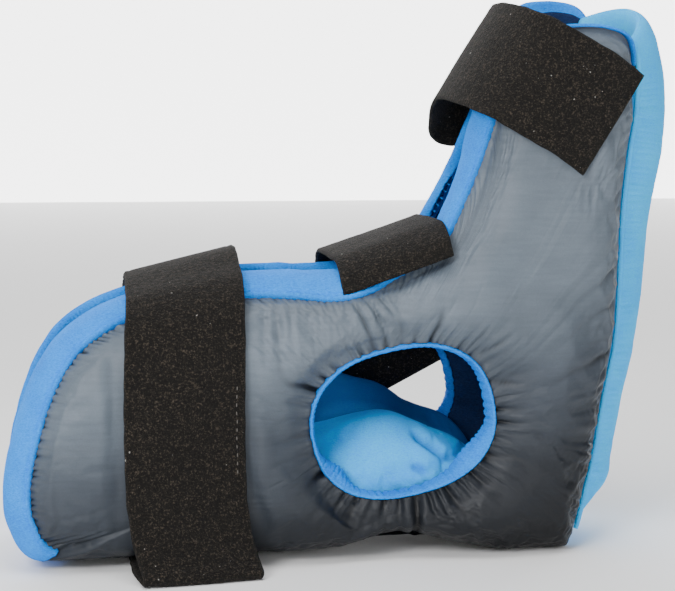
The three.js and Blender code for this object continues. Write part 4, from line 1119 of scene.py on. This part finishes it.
def strap_stations(kind, count):
    """Places along the middle of a strap, and its way across at each of them."""
    if kind != "calf":
        if kind == "forefoot":
            t = np.arange(count) * len(FOREFOOT) / count
            along, side, foot, layers, rise, swing = curve(FOREFOOT, t, closed=True).T
            x = along * FOOT_LENGTH
            z = np.maximum(foot * FOOT_HEIGHT + layers * STRAP_THICKNESS, STRAP_THICKNESS / 2)
        else:
            t = np.linspace(0, len(INSTEP) - 1, count)
            along, side, foot, arch, rise, swing = curve(INSTEP, t).T
            far = smooth(0.9, 1.15, side)
            x = along * FOOT_LENGTH - 5 * far
            z = foot * FOOT_HEIGHT + arch * STRAP_ARCH + 3 * far
        return np.stack([x, side * FOOT_HALF_WIDTH, z], 1), np.stack([1 + 0 * rise, swing, rise], 1)
    t = np.linspace(0, len(CALF_STRAP) - 1, count)
    ahead, side = curve(CALF_STRAP, t).T
    end = np.array([FOOT_LENGTH + CALF_STRAP_UP * CALF_LEAN - CALF_STRAP_BACK, 0,
                    FOOT_HEIGHT + CALF_STRAP_UP * CALF_HEIGHT])
    front = outline_at(np.array(SHIN_TOP - 0.35))[X] - STRAP_STANDOFF
    cos, sin = math.cos(CALF_STRAP_SLOPE), math.sin(CALF_STRAP_SLOPE)
    reach = (end[0] - front) / cos
    middle = end + np.stack([-cos * ahead * reach, side * CALF_HALF_WIDTH, sin * ahead * reach], 1)
    middle[:, 2] -= CALF_STRAP_DROP * smooth(-0.05, 1.15, side) * smooth(0.3, 0.8, ahead)
    return middle, np.repeat([[sin, 0, cos]], count, 0)


def strap(kind, count, seed):
    """A broad strap of loop pile: soft thickness, rounded selvages, a slightly uneven lie."""
    closed = kind == "forefoot"
    broad, thick = STRAP_WIDTH / 2, STRAP_THICKNESS / 2
    middle, wide = strap_stations(kind, count)
    wide = unit(wide)
    along = np.roll(middle, -1, 0) - np.roll(middle, 1, 0) if closed else np.gradient(middle, axis=0)
    along = unit(along)
    normal = unit(np.cross(along, wide))
    s = walked(middle)[:, None]
    length = s[-1, 0] + (np.linalg.norm(middle[0] - middle[-1]) if closed else 0)
    w = np.linspace(-1, 1, STRAP_COLUMNS)[None, :]
    edge = (1 - np.abs(w)) * broad
    body = np.sqrt(np.clip(1 - (1 - np.clip(edge / 1.5, 0, 1)) ** 2, 0.02, 1))
    calm = smooth(0, 25, s) * smooth(0, 25, length - s) if closed else 1

    def uneven(size, more):
        return lumps(s + 0 * w, w * HALF_GRAIN + 0 * s, size, seed + more)

    fuzz = (0.16 * uneven(1.5, 0) + 0.1 * uneven(4, 1)) * calm
    sewn = -0.35 * bump(edge, 3.4, 0.7)
    lie = 0.5 * uneven(37, 2) * calm
    sway = (0.5 * wander(s, 21, seed + 3) + 0.25 * wander(s, 6, seed + 4)) * calm
    base = middle[:, None] + wide[:, None] * (w * broad + sway)[..., None]
    face = base + normal[:, None] * (lie + body * thick + fuzz * body + sewn)[..., None]
    back = base + normal[:, None] * (lie - body * thick + fuzz * 0.5 * body)[..., None]
    for skin in (face, back):
        skin[..., 2] = np.maximum(skin[..., 2], 0.0)
    section = np.concatenate([face, back[:, ::-1]], 1)
    if not closed:
        for row, inward in ((0, 1), (-1, -1)):
            mid = (face[row] + back[row]) / 2
            tight = [mid + (skin[row] - mid) * 0.35 for skin in (face, back)]
            tight = np.concatenate([tight[0], tight[1][::-1]])
            cap = tight - along[row] * 0.9 * inward
            section = np.concatenate([cap[None], section] if inward > 0 else [section, cap[None]], 0)
    piece = woven(kind + "_pile", section, BLACK, (closed, True))
    return piece, (broad / 500, length / 1000), face


def stitches(name, places, runs, thick, finish):
    """Short lengths of thread: where each one lies, and the way that it runs with half its length."""
    shape = bmesh.new()
    for at, run in zip(places, runs):
        turn = Vector(run).to_track_quat("X", "Z").to_matrix().to_4x4()
        size = Matrix.Diagonal((float(np.linalg.norm(run)) / 1000, thick / 1000, thick / 1000, 1))
        bmesh.ops.create_icosphere(shape, subdivisions=2, radius=1,
                                   matrix=Matrix.Translation(to_frame(at)) @ turn @ size)
    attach(meshed(name, shape, finish), "root")


def strap_stitches(face):
    """The stitch lines that show on the near side of the straps, and loose ends of thread."""
    pick = np.random.default_rng(611)
    fore, calf = face["forefoot"], face["calf"]
    near = [k for k, (_, y, z) in enumerate(fore[:, STRAP_COLUMNS // 2]) if y < 0 and 50 < z < 104]
    column = 4 if fore[near[0], 4, 0] > fore[near[0], -5, 0] else -5
    line = fore[near, column]
    reach = walked(line)

    def along(at):
        return np.stack([np.interp(at, reach, line[:, k]) for k in range(3)], 1)

    at = np.arange(2, reach[-1] - 2, 4.6)
    places = along(at)
    run = along(at + 1) - places
    stitches("forefoot_stitches", places + [0, -0.1, 0], run * 1.1, 0.28, DULL_THREAD)
    end = calf[4, 5:-5:5] + [0, -0.1, 0]
    across = unit(calf[4, 6] - calf[4, 5])
    stitches("calf_stitches", end, [across * 1.3] * len(end), 0.3, DULL_THREAD)
    tips = [1, 2, 3, 6, 8, 46, 47, 50, 53, 54]
    ends = calf[0, tips] + pick.uniform(-0.8, 0.8, (len(tips), 3)) * [1, 0.4, 1]
    runs = pick.uniform(-1, 1, (len(tips), 3)) * [1.6, 0.3, 1.6] + [0.9, 0, 0]
    stitches("calf_thread_ends", ends, runs, 0.2, THREAD)
    lint = [[128.2, -72, 118.0], [129.4, -72, 114.2], [128.8, -72.2, 110.6], [130.4, -72.2, 107.5],
            [130.0, -72.3, 104.6]]
    runs = [[0.9, 0, 0.8], [0.4, 0, -1.1], [1.0, 0, 0.5], [0.3, 0, 1.2], [0.7, 0, -0.7]]
    stitches("loose_thread", lint, runs, 0.26, THREAD)


def made():
    faces = {}
    for side, name in ((-1, "left"), (1, "right")):
        belongs(side_cover(side, "side_cover_" + name), "side_panel_" + name)
        belongs(side_lining(side, "side_lining_" + name), "lining_" + name)
        belongs(edge_binding(side, "edge_jersey_" + name), "edge_binding_" + name)
        belongs(rim_binding(side, "rim_jersey_" + name), "hole_binding_" + name)
        belongs(piping(side, "piping_" + name), "spine_piping_" + name)
    belongs(spine(), "heel_spine")
    belongs(sole(), "sole_pad")
    belongs(cushion(), "foot_cushion")
    belongs(toe_lip(), "toe_binding")
    for kind, count, seed in (("forefoot", 620, 501), ("instep", 300, 521), ("calf", 380, 541)):
        piece, flat, faces[kind] = strap(kind, count, seed)
        belongs(piece, kind + "_strap")
    strap_stitches(faces)


made()


# Floor, wall, light and camera
def studio_sheet(name, spot, **constants):
    """A plain sheet of the studio; spot says where its corners are, which are at -1 and 1."""
    shape = bmesh.new()
    bmesh.ops.create_grid(shape, x_segments=1, y_segments=1, size=1)
    for corner in shape.verts:
        corner.co = spot(corner.co.x, corner.co.y)
    meshed(name, shape, Look(name, Base_Color=(0.9, 0.9, 0.9, 1), **constants).material)


studio_sheet("floor", lambda x, y: (6 * x, 6 * y, -0.0002), Roughness=0.9)
studio_sheet("backdrop", lambda x, y: (6 * x, 5.0, 3 + 4 * y), Roughness=1.0,
             Emission_Color=(1, 1, 1, 1), Emission_Strength=4.0)
sky = bpy.data.worlds.new("studio")
sky.use_nodes = True
sky.node_tree.nodes["Background"].inputs["Color"].default_value = (1, 1, 1, 1)
sky.node_tree.nodes["Background"].inputs["Strength"].default_value = 0.24
bpy.context.scene.world = sky
for name, at, towards, size, power in (
        ("key", (-0.62, -0.86, 0.64), (-0.03, 0, 0.15), 0.4, 11.5),
        ("front", (-0.2, -1.15, 0.2), (0.02, 0, 0.1), 0.3, 3),
        ("fill", (0.75, -1.25, 0.45), (0.15, 0, 0.18), 0.4, 5),
        ("top", (-0.15, -0.3, 1.2), (0, 0, 0.1), 0.7, 10)):
    light = bpy.data.lights.new(name, "AREA")
    light.shape, light.size, light.energy = "SQUARE", size, power
    lamp = linked(name, light)
    lamp.location = at
    lamp.rotation_euler = (Vector(towards) - Vector(at)).to_track_quat("-Z", "Y").to_euler()

AZIMUTH, ELEVATION = math.radians(-9), math.radians(5.5)
target = Vector((-0.0014, 0.0115, 0.145))
back = Vector((math.sin(AZIMUTH) * math.cos(ELEVATION), -math.cos(AZIMUTH) * math.cos(ELEVATION),
               math.sin(ELEVATION)))
view = bpy.data.cameras.new("camera")
view.lens, view.sensor_width = 90.2, 36
view.clip_start, view.clip_end = 0.05, 20
camera = linked("camera", view)
camera.location = target + back
camera.rotation_euler = (-back).to_track_quat("-Z", "Y").to_euler()
bpy.context.scene.camera = camera

bpy.context.view_layer.update()
